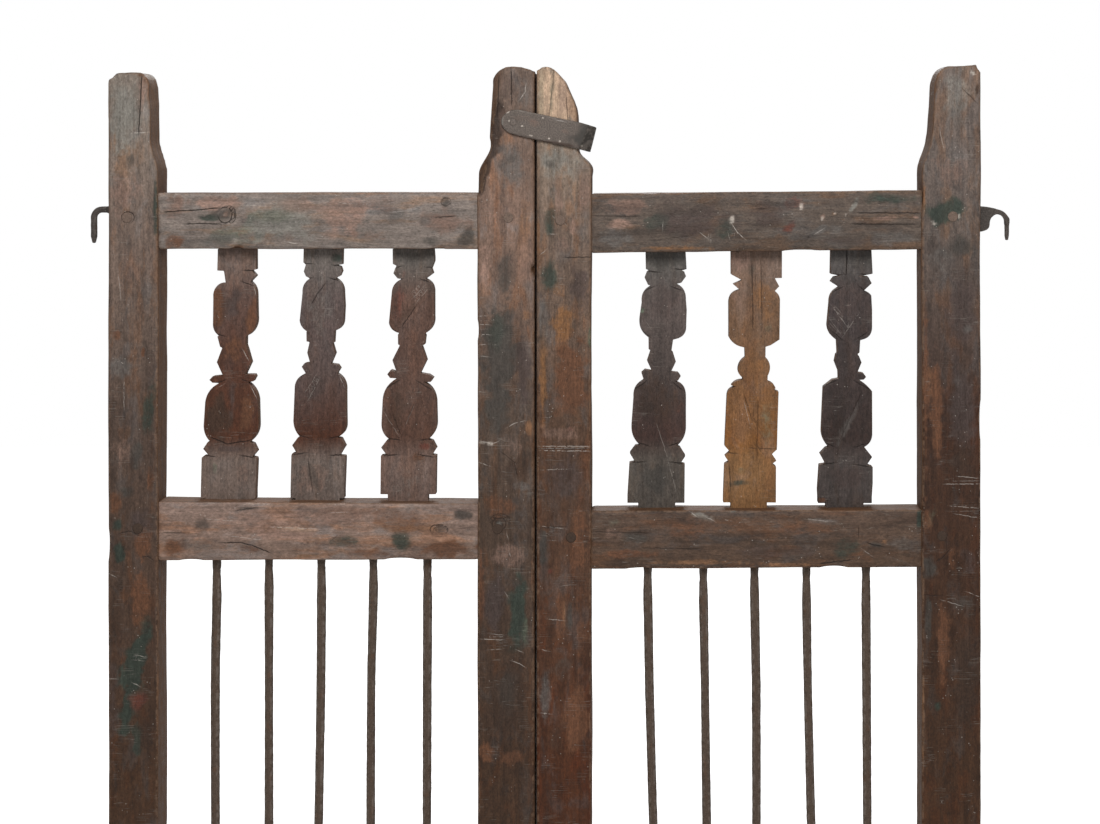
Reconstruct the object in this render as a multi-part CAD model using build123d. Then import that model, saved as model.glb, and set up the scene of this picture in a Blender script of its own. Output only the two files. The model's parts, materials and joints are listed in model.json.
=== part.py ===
from build123d import *
import math
import os

# A pair of wooden gate leaves with iron bars below, hung on forged hooks and held shut by a
# strap across their horns. X runs right, Y to the rear, Z up. The origin is on the pin of the
# upper left hook, so every other place follows from it. All sizes are in millimetres.

# Driving sizes
left_hook_reach = 44.0       # from the pin's axis to the leaf's edge
right_hook_reach = 58.5
left_leaf_width = 749.0
right_leaf_width = 779.5
leaf_gap = 4.5               # lets the right leaf swing past the left one
stile_depth = 70.0
rail_depth = 62.0
rail_setback = 5.0           # rail face behind the stile face
left_outer_width = 89.5
left_meeting_width = 100.5
right_meeting_width = 96.0
right_outer_width = 105.0
feet_below_pin = 1555.0

tenon_length = 78.0
tenon_depth = 20.0
tenon_shoulder = 15.0        # rail height left above and below a tenon
arris = 3.0                  # worn front corners of the stiles
rail_arris = 2.0
peg_radius = 9.0
peg_proud = 1.0
peg_play = 0.05
peg_inset = {"top": 55.0, "middle": 36.0, "bottom": 45.0}

baluster_depth = 22.0
baluster_stub = 22.0         # how far a baluster's tenon goes into a rail
left_picture_step = 0.2938   # one step of the enlarged picture of the left balusters
right_picture_step = 0.3017
bar_radius = 8.2
bar_neck_radius = 5.6
bar_socket = 28.0
bar_play = 0.05

palm_depth = 6.0             # flattened end of a hook, nailed to the back of a stile
left_palm_over_rail = 11.5   # how far its end reaches past the stile's inner edge
right_plate_short = 11.5     # how far the right plate stops short of that edge
left_pin_radius = 6.0
right_pin_radius = 4.5
right_pin_shoulder = 0.8     # the finger is this much fatter than its pin
right_plate_depth = 8.0
nail_radius = 2.5
nail_head_radius = 7.0
nail_head_depth = 3.2
nail_length = 22.0           # stops short of the tenons
nail_play = 0.05
lower_hook_drop = 1415.0     # from the upper pin down to the lower one

strap_depth = 5.0
strap_air = 0.5              # strap held just off the horns' faces
strap_slope = 12.0           # degrees down to the right when it rests
strap_bend = 50.0            # degrees that its end turns back
strap_bend_at = 122.4        # from the pivot to the bend
pivot_x_from_meeting = 37.0
pivot_above_top_rail = 122.0
pivot_radius = 5.0
pivot_play = 0.08

# Places that follow from them
back = -palm_depth
front = back - stile_depth
rail_front = front + rail_setback
rail_back = rail_front + rail_depth
rail_mid = (rail_front + rail_back) / 2

lo_out = left_hook_reach
lo_in = lo_out + left_outer_width
lm_out = lo_out + left_leaf_width
lm_in = lm_out - left_meeting_width
rm_out = lm_out + leaf_gap
rm_in = rm_out + right_meeting_width
ro_out = rm_out + right_leaf_width
ro_in = ro_out - right_outer_width
right_pin_x = ro_out + right_hook_reach

# Each rail: top at the outer stile, top at the meeting stile, height at each of them.
RAILS = {
    "left": {
        "top": (50.0, 50.0, 100.5, 100.5),
        "middle": (-493.0, -496.5, 105.0, 99.5),
        "bottom": (-1365.0, -1366.0, 100.0, 99.0),
    },
    "right": {
        "top": (54.0, 48.5, 105.0, 106.5),
        "middle": (-507.0, -509.5, 103.0, 103.0),
        "bottom": (-1369.0, -1371.5, 100.0, 101.0),
    },
}
SPAN = {"left": (lo_in, lm_in), "right": (ro_in, rm_in)}      # outer end, meeting end

# Bars: place along the leaf under the middle rail, place above the bottom rail, neck length.
BARS = {
    "left": ((95.0, 91.0, 22), (187.5, 187.5, 10), (280.5, 272.5, 14), (372.5, 364.5, 12),
             (468.5, 466.5, 26)),
    "right": ((98.5, 114.5, 12), (197.0, 207.0, 16), (287.5, 293.5, 10), (379.5, 393.5, 20),
              (485.0, 489.0, 14)),
}

# Balusters: centre along the leaf, half widths on each side at block, collar, vase, neck,
# diamond, ring, lower vase, base collar and base block, then the drops of each of these below
# the top rail, the height of bare stub under the base, and the bead that is broken away.
# A baluster's outline was read off an enlarged picture, in that picture's own small steps to the
# right and down. Each row: how far along the leaf, where the middle and the rail are in the picture,
# the bare part of the foot, the tenons' four half widths, then the right side and the left side.
BALUSTERS = {
    "left": (
        (116.0, (233, 23), 0, (11, 28, 41, 40),
         (("to", (397, 28), (397, 148), (372, 155), (399, 185), (365, 221)),
          ("curve", (386, 245), (400, 290)), ("to", (403, 430)), ("curve", (396, 490), (378, 522), (338, 550)),
          ("to", (337, 604), (346, 630), (368, 708), (335, 780), (388, 780), (396, 795), (381, 824), (350, 829)),
          ("curve", (388, 870), (411, 935)), ("to", (414, 1080)), ("curve", (404, 1135), (360, 1190)),
          ("to", (382, 1199), (405, 1245), (376, 1279), (400, 1284), (403, 1300), (396, 1480))),
         (("to", (168, 28), (163, 155), (203, 158), (213, 229), (184, 230)),
          ("curve", (152, 258), (138, 320)), ("to", (136, 480)), ("curve", (144, 515), (172, 548)),
          ("to", (163, 551), (180, 615), (193, 621), (160, 707), (196, 786), (136, 792), (115, 814),
           (134, 832), (172, 834)),
          ("curve", (115, 882), (90, 950)), ("to", (82, 1080)), ("curve", (93, 1148), (120, 1186)),
          ("to", (106, 1188), (77, 1230), (113, 1271), (80, 1273), (68, 1283), (63, 1480)))),
        (274.0, (771, 23), 2, (15, 25, 40, 39),
         (("to", (922, 28), (918, 118), (884, 122), (908, 129), (917, 158), (905, 187), (878, 201)),
          ("curve", (910, 228), (927, 290)), ("to", (931, 370), (927, 450)), ("curve", (914, 492), (872, 519)),
          ("to", (868, 590), (858, 594), (876, 655), (850, 716), (890, 722), (906, 745), (888, 776)),
          ("curve", (924, 810), (940, 880)), ("to", (942, 1080)), ("curve", (928, 1132), (888, 1161)),
          ("to", (912, 1166), (937, 1215), (905, 1270), (934, 1272), (938, 1284), (931, 1480))),
         (("to", (686, 28), (683, 105), (697, 119), (685, 160), (698, 190), (720, 202)),
          ("curve", (690, 232), (677, 290)), ("to", (660, 455)), ("curve", (670, 488), (704, 521)),
          ("to", (701, 524), (702, 582), (720, 586), (706, 650), (722, 706), (690, 712), (672, 735),
           (694, 770), (697, 774)),
          ("curve", (645, 812), (630, 870)), ("to", (622, 1060)), ("curve", (634, 1115), (664, 1158)),
          ("to", (650, 1161), (615, 1208), (641, 1254), (614, 1258), (610, 1270), (605, 1480)))),
        (434.5, (232, 23), 10, (17, 26, 37, 35),
         (("to", (379, 28), (389, 75), (389, 98), (372, 142), (382, 171), (338, 204)),
          ("curve", (374, 232), (388, 275)), ("to", (388, 430)), ("curve", (381, 485), (330, 536)),
          ("to", (336, 547), (330, 600), (313, 608), (343, 695), (305, 773), (356, 782), (384, 801),
           (366, 827), (326, 826)),
          ("curve", (378, 872), (401, 940)), ("to", (404, 1060)), ("curve", (396, 1115), (352, 1173)),
          ("to", (378, 1181), (402, 1226), (376, 1266), (401, 1269), (398, 1480))),
         (("to", (135, 28), (137, 115), (159, 126), (151, 141), (140, 172), (166, 203), (188, 206)),
          ("curve", (143, 243), (130, 290)), ("to", (113, 470)), ("curve", (126, 502), (174, 532)),
          ("to", (167, 541), (168, 600), (178, 606), (134, 695), (158, 764), (124, 753), (103, 780),
           (120, 803), (160, 806)),
          ("curve", (102, 855), (75, 935)), ("to", (68, 1080)), ("curve", (82, 1136), (124, 1176)),
          ("to", (100, 1179), (66, 1222), (95, 1261), (112, 1264), (65, 1270), (62, 1480)))),
    ),
    "right": (
        (113.5, (212, 42), 8, (12, 31, 32, 34),
         (("to", (382, 45), (392, 142), (360, 151), (378, 157), (389, 184), (360, 222), (332, 229)),
          ("curve", (374, 262), (388, 320)), ("to", (393, 380), (390, 470)), ("curve", (378, 522), (330, 552)),
          ("to", (312, 556), (302, 622), (311, 630), (328, 685), (300, 744), (340, 748), (357, 770),
           (340, 797), (322, 800)),
          ("curve", (370, 828), (388, 880)), ("to", (388, 1060)), ("curve", (376, 1125), (333, 1180)),
          ("to", (350, 1186), (384, 1240), (356, 1282), (381, 1288), (379, 1480))),
         (("to", (147, 45), (150, 142), (168, 149), (156, 156), (143, 192), (163, 234), (178, 240)),
          ("curve", (138, 276), (126, 340)), ("to", (113, 430)), ("curve", (120, 488), (166, 542)),
          ("to", (167, 612), (178, 619), (158, 680), (184, 738), (146, 731), (124, 750), (137, 790),
           (132, 796)),
          ("curve", (92, 832), (77, 900)), ("to", (66, 1060)), ("curve", (76, 1122), (116, 1175)),
          ("to", (90, 1178), (56, 1222), (86, 1273), (54, 1279), (42, 1480)))),
        (279.0, (761, 36), 8, (19, 34, 34, 31),
         (("to", (952, 55), (952, 195), (912, 197), (937, 243), (911, 271)),
          ("curve", (929, 287), (941, 322)), ("to", (938, 556), (886, 590), (856, 599), (855, 662)),
          ("curve", (878, 692), (882, 725), (869, 768)), ("to", (868, 800)),
          ("curve", (895, 812), (915, 842)), ("to", (904, 850), (932, 862), (930, 960), (922, 1202),
           (892, 1229), (919, 1268), (894, 1286), (917, 1302), (916, 1480))),
         (("to", (650, 45), (652, 172), (714, 207), (664, 230), (701, 263)),
          ("curve", (652, 292), (638, 335)), ("to", (638, 540)), ("curve", (662, 572), (732, 602)),
          ("to", (734, 660)), ("curve", (708, 684), (692, 735), (719, 780)), ("to", (718, 792)),
          ("curve", (678, 801), (652, 826)), ("to", (676, 832)), ("curve", (640, 850), (626, 890)),
          ("to", (613, 1180), (643, 1214), (614, 1240), (636, 1273), (612, 1288), (605, 1480)))),
        (448.0, (1321, 29), 6, (15, 29, 34, 33),
         (("to", (1475, 35), (1485, 170), (1416, 183), (1458, 184), (1480, 225), (1433, 268)),
          ("curve", (1460, 279), (1477, 297)), ("to", (1482, 380), (1482, 480)),
          ("curve", (1467, 532), (1412, 560)),
          ("to", (1408, 632), (1396, 642), (1405, 652), (1420, 690), (1396, 748), (1430, 752), (1447, 775),
           (1432, 792), (1404, 794)),
          ("curve", (1446, 822), (1481, 860)), ("to", (1482, 1105)), ("curve", (1472, 1152), (1430, 1191)),
          ("to", (1444, 1197), (1482, 1245), (1452, 1291), (1485, 1302), (1485, 1400), (1480, 1480))),
         (("to", (1238, 35), (1235, 170), (1288, 180), (1255, 186), (1234, 215), (1284, 247)),
          ("curve", (1242, 282), (1228, 340)), ("to", (1216, 470)), ("curve", (1228, 514), (1272, 558)),
          ("to", (1276, 636), (1268, 642), (1259, 685), (1281, 740), (1283, 784), (1248, 790), (1193, 832),
           (1182, 1090)),
          ("curve", (1192, 1142), (1223, 1186)),
          ("to", (1208, 1191), (1173, 1228), (1205, 1286), (1170, 1291), (1160, 1440), (1162, 1480)))),
    ),
}


# Drawing helpers
def outline(y, start, *runs):
    """A closed face in an upright plane: straight runs, three-point arcs and free curves."""
    at = lambda p: Vector(p[0], y, p[1])
    here, edges = start, []
    for kind, *points in runs:
        if kind == "to":
            for p in points:
                edges.append(Edge.make_line(at(here), at(p)))
                here = p
        elif kind == "arc":
            edges.append(Edge.make_three_point_arc(at(here), at(points[0]), at(points[1])))
            here = points[1]
        else:
            edges.append(Edge.make_spline([at(here)] + [at(p) for p in points]))
            here = points[-1]
    if (Vector(*here) - Vector(*start)).length > 1e-6:
        edges.append(Edge.make_line(at(here), at(start)))
    return Face(Wire(edges))


def slab(y0, y1, start, *runs):
    """The same outline given a thickness from y0 back to y1."""
    return Solid.extrude(outline(y0, start, *runs), Vector(0, y1 - y0, 0))


def box(x0, x1, y0, y1, z0, z1):
    return slab(y0, y1, (x0, z0), ("to", (x1, z0), (x1, z1), (x0, z1)))


def rod_y(x, z, y0, y1, r):
    return Solid.make_cylinder(r, y1 - y0, Plane(origin=(x, y0, z), z_dir=(0, 1, 0)))


def rod_z(x, y, z0, z1, r):
    return Solid.make_cylinder(r, z1 - z0, Plane(origin=(x, y, z0), z_dir=(0, 0, 1)))


def one(shape):
    """The single solid that a cut or a join leaves."""
    return max(shape.solids(), key=lambda s: s.volume)


def worn(body, size, face_y):
    """Breaks the front corners of a timber."""
    rim = [e for e in body.edges() if e.bounding_box().max.Y < face_y + 1e-4]
    return one(chamfer(rim, size))


# Rails
def rail_end(side, level, end):
    """X, top and bottom of a rail where it meets a stile: end 0 is the outer one."""
    row = RAILS[side][level]
    return SPAN[side][end], row[end], row[end] - row[2 + end]


def rail_edge(side, level, x, which):
    """Height of a rail's top (1) or bottom (2) edge at X."""
    a, b = rail_end(side, level, 0), rail_end(side, level, 1)
    return a[which] + (b[which] - a[which]) * (x - a[0]) / (b[0] - a[0])


def tenon(side, level, end):
    """The tongue on one end of a rail; the same box is cut from the stile."""
    x, top, bottom = rail_end(side, level, end)
    out = -1 if (side == "left") == (end == 0) else 1
    x0, x1 = sorted((x, x + out * tenon_length))
    return box(x0, x1, rail_mid - tenon_depth / 2, rail_mid + tenon_depth / 2,
               bottom + tenon_shoulder, top - tenon_shoulder)


def peg_place(side, level, end):
    x, top, bottom = rail_end(side, level, end)
    out = -1 if (side == "left") == (end == 0) else 1
    return x + out * peg_inset[level], (top + bottom) / 2 + 6


def peg_hole(side, level, end):
    x, z = peg_place(side, level, end)
    return rod_y(x, z, front - 5, back + 5, peg_radius + peg_play)


def rail_blank(side, level, grow=0.0):
    (xa, ta, ba), (xb, tb, bb) = rail_end(side, level, 0), rail_end(side, level, 1)
    return slab(rail_front - grow, rail_back + grow, (xa, ba),
                ("to", (xb, bb), (xb, tb), (xa, ta)))


def rail(side, level, cuts):
    body = worn(rail_blank(side, level), rail_arris, rail_front)
    for end in (0, 1):
        body = body + tenon(side, level, end) - peg_hole(side, level, end)
    for cut in cuts:
        body = body - cut
    return one(body)


# Stiles
def stile(side, end, body, nails):
    """Cuts a stile's mortises, peg holes and nail holes."""
    for level in RAILS[side]:
        body = body - tenon(side, level, end) - peg_hole(side, level, end)
    for hole in nails:
        body = body - hole
    return one(body)


def left_outer_blank():
    x, i, t = lo_out, lo_in, RAILS["left"]["top"][0]
    body = slab(front, back, (x, -feet_below_pin),
                ("to", (x, t + 196), (x + 9, t + 208), (x + 18, t + 211), (i - 30, t + 211)),
                ("curve", (i - 20, t + 202), (i - 15, t + 180), (i - 13.5, t + 158)),
                ("to", (i - 13, t + 100)),
                ("curve", (i - 10.5, t + 76), (i - 4.5, t + 58), (i, t + 40)),
                ("to", (i, -feet_below_pin)))
    return worn(body, arris, front)


def left_meeting_blank():
    x, i, t = lm_in, lm_out, RAILS["left"]["top"][1]
    body = slab(front, back, (x, -feet_below_pin),
                ("to", (x, t + 34)),
                ("curve", (x + 5, t + 48), (x + 16, t + 64), (x + 20.5, t + 96)),
                ("to", (x + 25, t + 190)),
                ("curve", (x + 31, t + 211), (x + 45, t + 219), (x + 72, t + 221), (i - 5, t + 216)),
                ("curve", (i - 1.5, t + 213), (i, t + 208)),
                ("to", (i, -feet_below_pin)))
    body = worn(body, arris, front)
    # A broad hewn bevel runs down the outer corner of the horn and dies out at the rail.
    low, high, lean = (x + 8, t - 2), (x + 46, t + 230), 38.0 / 232.0
    wide, deep = 60.0, 124.0
    tip = Face(Wire.make_polygon([(low[0], front, low[1]), (low[0] - wide, front, low[1]),
                                  (low[0] - wide, front + deep, low[1])]))
    rise = high[1] - low[1]
    return one(body - Solid.extrude(tip, Vector(lean * rise, 0, rise)))


def right_meeting_blank():
    x, i, t = rm_out, rm_in, RAILS["right"]["top"][1]
    body = slab(front, back, (x, -feet_below_pin),
                ("to", (x, t + 213)),
                ("curve", (x + 6, t + 221), (x + 19, t + 223.5), (x + 31, t + 218),
                 (x + 44.5, t + 204), (x + 51.5, t + 196)),
                ("curve", (x + 58, t + 181), (x + 66, t + 163), (x + 71, t + 145),
                 (x + 72.5, t + 102), (x + 73.5, t + 80)),
                ("curve", (x + 78, t + 66), (x + 88, t + 58), (i - 0.5, t + 48), (i, t + 32)),
                ("to", (i, -feet_below_pin)))
    return worn(body, arris, front)


def right_outer_blank():
    x, i, t = ro_out, ro_in, RAILS["right"]["top"][0]
    body = slab(front, back, (x, -feet_below_pin),
                ("to", (x, t + 212), (x - 6, t + 221), (i + 48, t + 218)),
                ("curve", (i + 34, t + 212), (i + 25.5, t + 195), (i + 22, t + 160),
                 (i + 19, t + 112), (i + 12.5, t + 74), (i + 4, t + 52), (i, t + 32)),
                ("to", (i, -feet_below_pin)))
    return worn(body, arris, front)


# Balusters
def baluster_side(side, index, which):
    """One side of a board from inside the top rail down to its foot: 0 is right, 1 is left."""
    along, (middle, rail_row), bare, _, *sides = BALUSTERS[side][index]
    step = left_picture_step if side == "left" else right_picture_step
    cx, top, foot = baluster_levels(side, index)
    place = lambda p: (cx + (p[0] - middle) * step, top - (p[1] - rail_row) * step)
    (_, first, *others), *runs = [(kind, *map(place, points)) for kind, *points in sides[which]]
    ends = foot + bare if bare else foot - 20
    return (first[0], top + 20), [("to", *others), *runs, ("to", (runs[-1][-1][0], ends))]


def baluster_levels(side, index):
    cx = SPAN[side][0 if side == "left" else 1] + BALUSTERS[side][index][0]
    return cx, rail_edge(side, "top", cx, 2), rail_edge(side, "middle", cx, 1)


def reverse_runs(start, steps):
    """The same path walked from its end back to its start."""
    here, back_steps = start, []
    for kind, *points in steps:
        nodes = [here] + points
        back_steps.append((kind, *reversed(nodes[:-1])))
        here = points[-1]
    return here, back_steps[::-1]


def baluster(side, index):
    start, steps = baluster_side(side, index, 0)
    left_end, left_up = reverse_runs(*baluster_side(side, index, 1))
    y0, y1 = rail_mid, rail_mid + baluster_depth
    body = slab(y0, y1, start, *steps, ("to", left_end), *left_up)
    stubs = baluster_stubs(side, index)
    if BALUSTERS[side][index][2]:
        body = body + stubs[1]
    for level in ("top", "middle"):
        body = one(body - rail_blank(side, level, grow=10))
    return one(body + stubs[0] + stubs[1])


def baluster_stubs(side, index):
    """The tenons at the top and the foot; the same boxes are cut from the rails."""
    bare, (top_left, top_right, foot_left, foot_right) = BALUSTERS[side][index][2:4]
    cx, top, foot = baluster_levels(side, index)
    y0, y1 = rail_mid, rail_mid + baluster_depth
    return (box(cx - top_left, cx + top_right, y0, y1, top - 12, top + baluster_stub),
            box(cx - foot_left, cx + foot_right, y0, y1, foot - baluster_stub, foot + bare + 2))


# Bars
def bar_places(side, index):
    along0, along1, neck = BARS[side][index]
    x0 = SPAN[side][0 if side == "left" else 1]
    a, b = x0 + along0, x0 + along1
    return a, rail_edge(side, "middle", a, 2), b, rail_edge(side, "bottom", b, 1), neck


def bar(side, index):
    """A round bar, thinned at both ends and never quite straight or even."""
    a, top, b, bottom, neck = bar_places(side, index)
    length = top - bottom
    sway = (index % 3 - 1) * 1.5
    swell = 0.35 if index % 2 else -0.25
    stations = [(0.0, bar_neck_radius, 0.0, neck), (0.0, bar_radius - 0.6, 0.0, neck + 14),
                (0.0, bar_radius + 0.5, 0.2, neck + 44), (0.28, bar_radius - swell, sway, 0),
                (0.50, bar_radius, sway * 0.4, 0), (0.72, bar_radius + swell, -sway * 0.6, 0),
                (1.0, bar_radius + 0.4, -0.1, -52), (1.0, bar_radius - 0.6, 0.0, -24),
                (1.0, bar_neck_radius, 0.0, -12)]
    rings = []
    for share, radius, off, step in stations:
        z = top - share * length - step
        x = a + (b - a) * share + off
        rings.append(Wire.make_circle(radius, Plane(origin=(x, rail_mid, z), z_dir=(0, 0, -1))))
    body = Solid.make_loft(rings, ruled=True)
    body = body + rod_z(a, rail_mid, top - neck, top + bar_socket, bar_neck_radius)
    return one(body + rod_z(b, rail_mid, bottom - bar_socket, bottom + 12, bar_neck_radius))


def bar_sockets(side, level):
    holes = []
    for index in range(len(BARS[side])):
        a, top, b, bottom, neck = bar_places(side, index)
        if level == "middle":
            holes.append(rod_z(a, rail_mid, top - 5, top + bar_socket, bar_neck_radius + bar_play))
        else:
            holes.append(rod_z(b, rail_mid, bottom - bar_socket, bottom + 5,
                               bar_neck_radius + bar_play))
    return holes


# Hooks and their nails
# Each nail's X and its height above the pin. The inner nails keep to the stile's inner edge, as
# the pegs do, so that they stay clear of them.
left_nails_at = ((lo_out + 22.0, 20.0), (lo_in - 29.5, 0.0), (lo_in - 11.5, 15.0))
right_nails_at = ((ro_out - 22.0, 13.0), (ro_out - 20.0, -11.0), (ro_in + 25.0, 4.0))


def left_hook(drop):
    """A rod bent down into a pin, its other end beaten flat on the back of the stile."""
    bend, r, e = 14.0, left_pin_radius, lo_out
    end = lo_in + left_palm_over_rail
    rise = 4.0
    path = Wire([Edge.make_line((e + 8, 0, rise + bend), (bend, 0, rise + bend)),
                 Edge.make_three_point_arc((bend, 0, rise + bend),
                                           (bend * (1 - math.sqrt(0.5)), 0,
                                            rise + bend * math.sqrt(0.5)), (0, 0, rise)),
                 Edge.make_line((0, 0, rise), (0, 0, -30))])
    ring = Face(Wire.make_circle(r, Plane(origin=(e + 8, 0, rise + bend), z_dir=(-1, 0, 0))))
    body = Solid.sweep(ring, path)
    tip = Solid.make_cone(r * 0.55, r, 12, Plane(origin=(0, 0, -42), z_dir=(0, 0, 1)))
    palm = slab(-palm_depth, 0, (e - 20, 12),
                ("curve", (e - 4, 4), (e + 14, -8), (e + 32, -11)),
                ("to", (end - 21, -11)), ("arc", (end, 10), (end - 21, 31)),
                ("to", (e + 32, 31)), ("curve", (e + 12, 30), (e - 4, 27), (e - 20, 24)))
    body = one(body + tip + palm)
    for nx, nz in left_nails_at:
        body = body - rod_y(nx, nz, -palm_depth - 1, 1, nail_radius + nail_play)
    return one(body).moved(Location((0, 0, -drop)))


def right_hook(drop):
    """A flat plate that narrows to a finger and turns down into a slender pin."""
    e, x, r, y0 = ro_out, right_pin_x, right_pin_radius, -palm_depth
    y1 = y0 + right_plate_depth
    end = ro_in + right_plate_short
    plate = slab(y0, y1, (end + 23.5, 25),
                 ("to", (e + 6, 25)),
                 ("curve", (x - 32, 22.5), (x - 17, 19), (x - 6, 14.5), (x - 1, 9.5)),
                 ("curve", (x + 2, 5), (x + 3, -1), (x + 3, -8)),
                 ("to", (x - 3, -8)),
                 ("curve", (x - 5, -2), (x - 8, 5), (x - 16, 9.2), (x - 25, 6)),
                 ("curve", (x - 30, -1), (x - 33, -15), (x - 42, -20.5), (e + 6, -22)),
                 ("to", (end + 23.5, -22)), ("arc", (end, 1.5), (end + 23.5, 25)))
    fat = r + right_pin_shoulder
    pin = rod_z(x, 0, -28, -8, r) + rod_z(x, 0, -8, 2, fat)
    dome = Solid.make_cone(fat, r * 0.4, 5, Plane(origin=(x, 0, 2), z_dir=(0, 0, 1)))
    tip = Solid.make_cone(r * 0.6, r, 9, Plane(origin=(x, 0, -37), z_dir=(0, 0, 1)))
    body = one(plate + pin + dome + tip)
    for nx, nz in right_nails_at:
        body = body - rod_y(nx, nz, y0 - 1, y1 + 1, nail_radius + nail_play)
    return one(body).moved(Location((0, 0, -drop)))


def nail_rows(side):
    """Place and seat of each nail: X, Z and the face its head sits on."""
    places = left_nails_at if side == "left" else right_nails_at
    seat = 0.0 if side == "left" else right_plate_depth - palm_depth
    return [(x, z - drop, seat) for drop in (0.0, lower_hook_drop) for x, z in places]


def nails(side):
    solids = []
    for x, z, seat in nail_rows(side):
        shank = rod_y(x, z, back - nail_length, seat, nail_radius)
        head = Solid.make_cone(nail_head_radius, nail_head_radius * 0.45, nail_head_depth,
                               Plane(origin=(x, seat, z), z_dir=(0, 1, 0)))
        solids.append(one(shank + head))
    return Compound(solids)


def nail_holes(side):
    return [rod_y(x, z, back - nail_length, back + 5, nail_radius + nail_play)
            for x, z, seat in nail_rows(side)]


def pegs(side):
    solids = []
    for level in RAILS[side]:
        for end in (0, 1):
            x, z = peg_place(side, level, end)
            rod = rod_y(x, z, front - peg_proud, back, peg_radius)
            face = [e for e in rod.edges().filter_by(GeomType.CIRCLE)
                    if e.center().Y < front]
            solids.append(one(chamfer(face, 1.2)))
    return Compound(solids)


# Latch
pivot_x = lm_out - pivot_x_from_meeting
pivot_z = RAILS["left"]["top"][1] + pivot_above_top_rail
strap_back = front - strap_air
strap_front = strap_back - strap_depth


def latch_strap():
    """Flat strap, round at the pivot, its far end turned back about a slightly skewed line."""
    skew, turn = 9.8, math.radians(strap_bend)
    tab, reach = 29.0, strap_bend_at
    # Side view of the strap, across the bend line: flat, then turned back.
    c, s, t = math.cos(turn), math.sin(turn), strap_depth
    slip = t * math.tan(turn / 2)
    points = [(-60, 0), (reach, 0), (reach + tab * c, tab * s),
              (reach + tab * c + t * s, tab * s - t * c), (reach + slip, -t), (-60, -t)]
    side = Face(Wire.make_polygon([(u, strap_back + v, -90) for u, v in points]))
    bar_body = Solid.extrude(side, Vector(0, 0, 180)).moved(Location((0, 0, 0), (0, skew, 0)))
    mask = slab(strap_front - 10, back, (-12.5, -14),
                ("curve", (-20, -6), (-20.5, 6), (-13, 17), (-4, 22.5), (8, 24.5)),
                ("to", (118, 25.0), (144.5, 22.6), (143.0, -22.6), (126, -21.8)),
                ("to", (40, -21.0), (4, -20.0)), ("curve", (-5, -18.6), (-12.5, -14)))
    body = one(bar_body & mask)
    body = one(body - rod_y(0, 0, strap_front - 5, strap_back + 5, pivot_radius + pivot_play))
    body = body.moved(Location((0, 0, 0), (0, strap_slope, 0)))
    return body.moved(Location((pivot_x, 0, pivot_z)))


def latch_pivot():
    """Pin through the strap and the horn, hammered nearly flat in front, with a washer behind."""
    shank = rod_y(pivot_x, pivot_z, strap_front - 1.0, back + 2, pivot_radius)
    head = Solid.make_cone(pivot_radius * 0.8, pivot_radius + 1.4, 1.0,
                           Plane(origin=(pivot_x, strap_front - 1.3, pivot_z), z_dir=(0, 1, 0)))
    washer = rod_y(pivot_x, pivot_z, back, back + 2.5, 13.0)
    tail = Solid.make_cone(pivot_radius + 2.5, pivot_radius * 0.6, 3.0,
                           Plane(origin=(pivot_x, back + 2.5, pivot_z), z_dir=(0, 1, 0)))
    return one(shank + head + washer + tail)


# The whole gate
def build():
    pieces = {}
    blanks = {("left", 0): left_outer_blank, ("left", 1): left_meeting_blank,
              ("right", 0): right_outer_blank, ("right", 1): right_meeting_blank}
    pivot_hole = rod_y(pivot_x, pivot_z, front - 5, back + 5, pivot_radius + peg_play)
    for side in ("left", "right"):
        for end, word in ((0, "outer"), (1, "meeting")):
            holes = nail_holes(side) if end == 0 else []
            if (side, end) == ("left", 1):
                holes = [pivot_hole]
            pieces[f"{side}_{word}_stile"] = stile(side, end, blanks[side, end](), holes)
        count = len(BALUSTERS[side])
        stubs = [baluster_stubs(side, i) for i in range(count)]
        cuts = {"top": [s[0] for s in stubs],
                "middle": [s[1] for s in stubs] + bar_sockets(side, "middle"),
                "bottom": bar_sockets(side, "bottom")}
        for level in RAILS[side]:
            pieces[f"{side}_{level}_rail"] = rail(side, level, cuts[level])
        for i in range(count):
            pieces[f"{side}_baluster_{i + 1}"] = baluster(side, i)
        for i in range(len(BARS[side])):
            pieces[f"{side}_bar_{i + 1}"] = bar(side, i)
        pieces[f"{side}_joint_pegs"] = pegs(side)
        hook = left_hook if side == "left" else right_hook
        pieces[f"{side}_upper_hook"] = hook(0.0)
        pieces[f"{side}_lower_hook"] = hook(lower_hook_drop)
        pieces[f"{side}_hook_nails"] = nails(side)
    pieces["latch_strap"] = latch_strap()
    pieces["latch_pivot"] = latch_pivot()
    return pieces


os.makedirs("parts", exist_ok=True)
for node, shape in build().items():
    export_step(shape, f"parts/{node}.step")
    print(node, "solids:", len(shape.solids()), "volume in cm3:", round(shape.volume / 1000, 1))
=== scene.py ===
# %% [markdown]
# # A double garden gate of old wood and iron
# The gate was built and packed as exact solids before this lesson starts. Here those solids get
# their looks: timbers hewn by hand and worn by weather, bars and hooks beaten by a smith, and the
# colours that age has given them. Everything is in metres, X to the right, Y to the rear, Z up.

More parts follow.
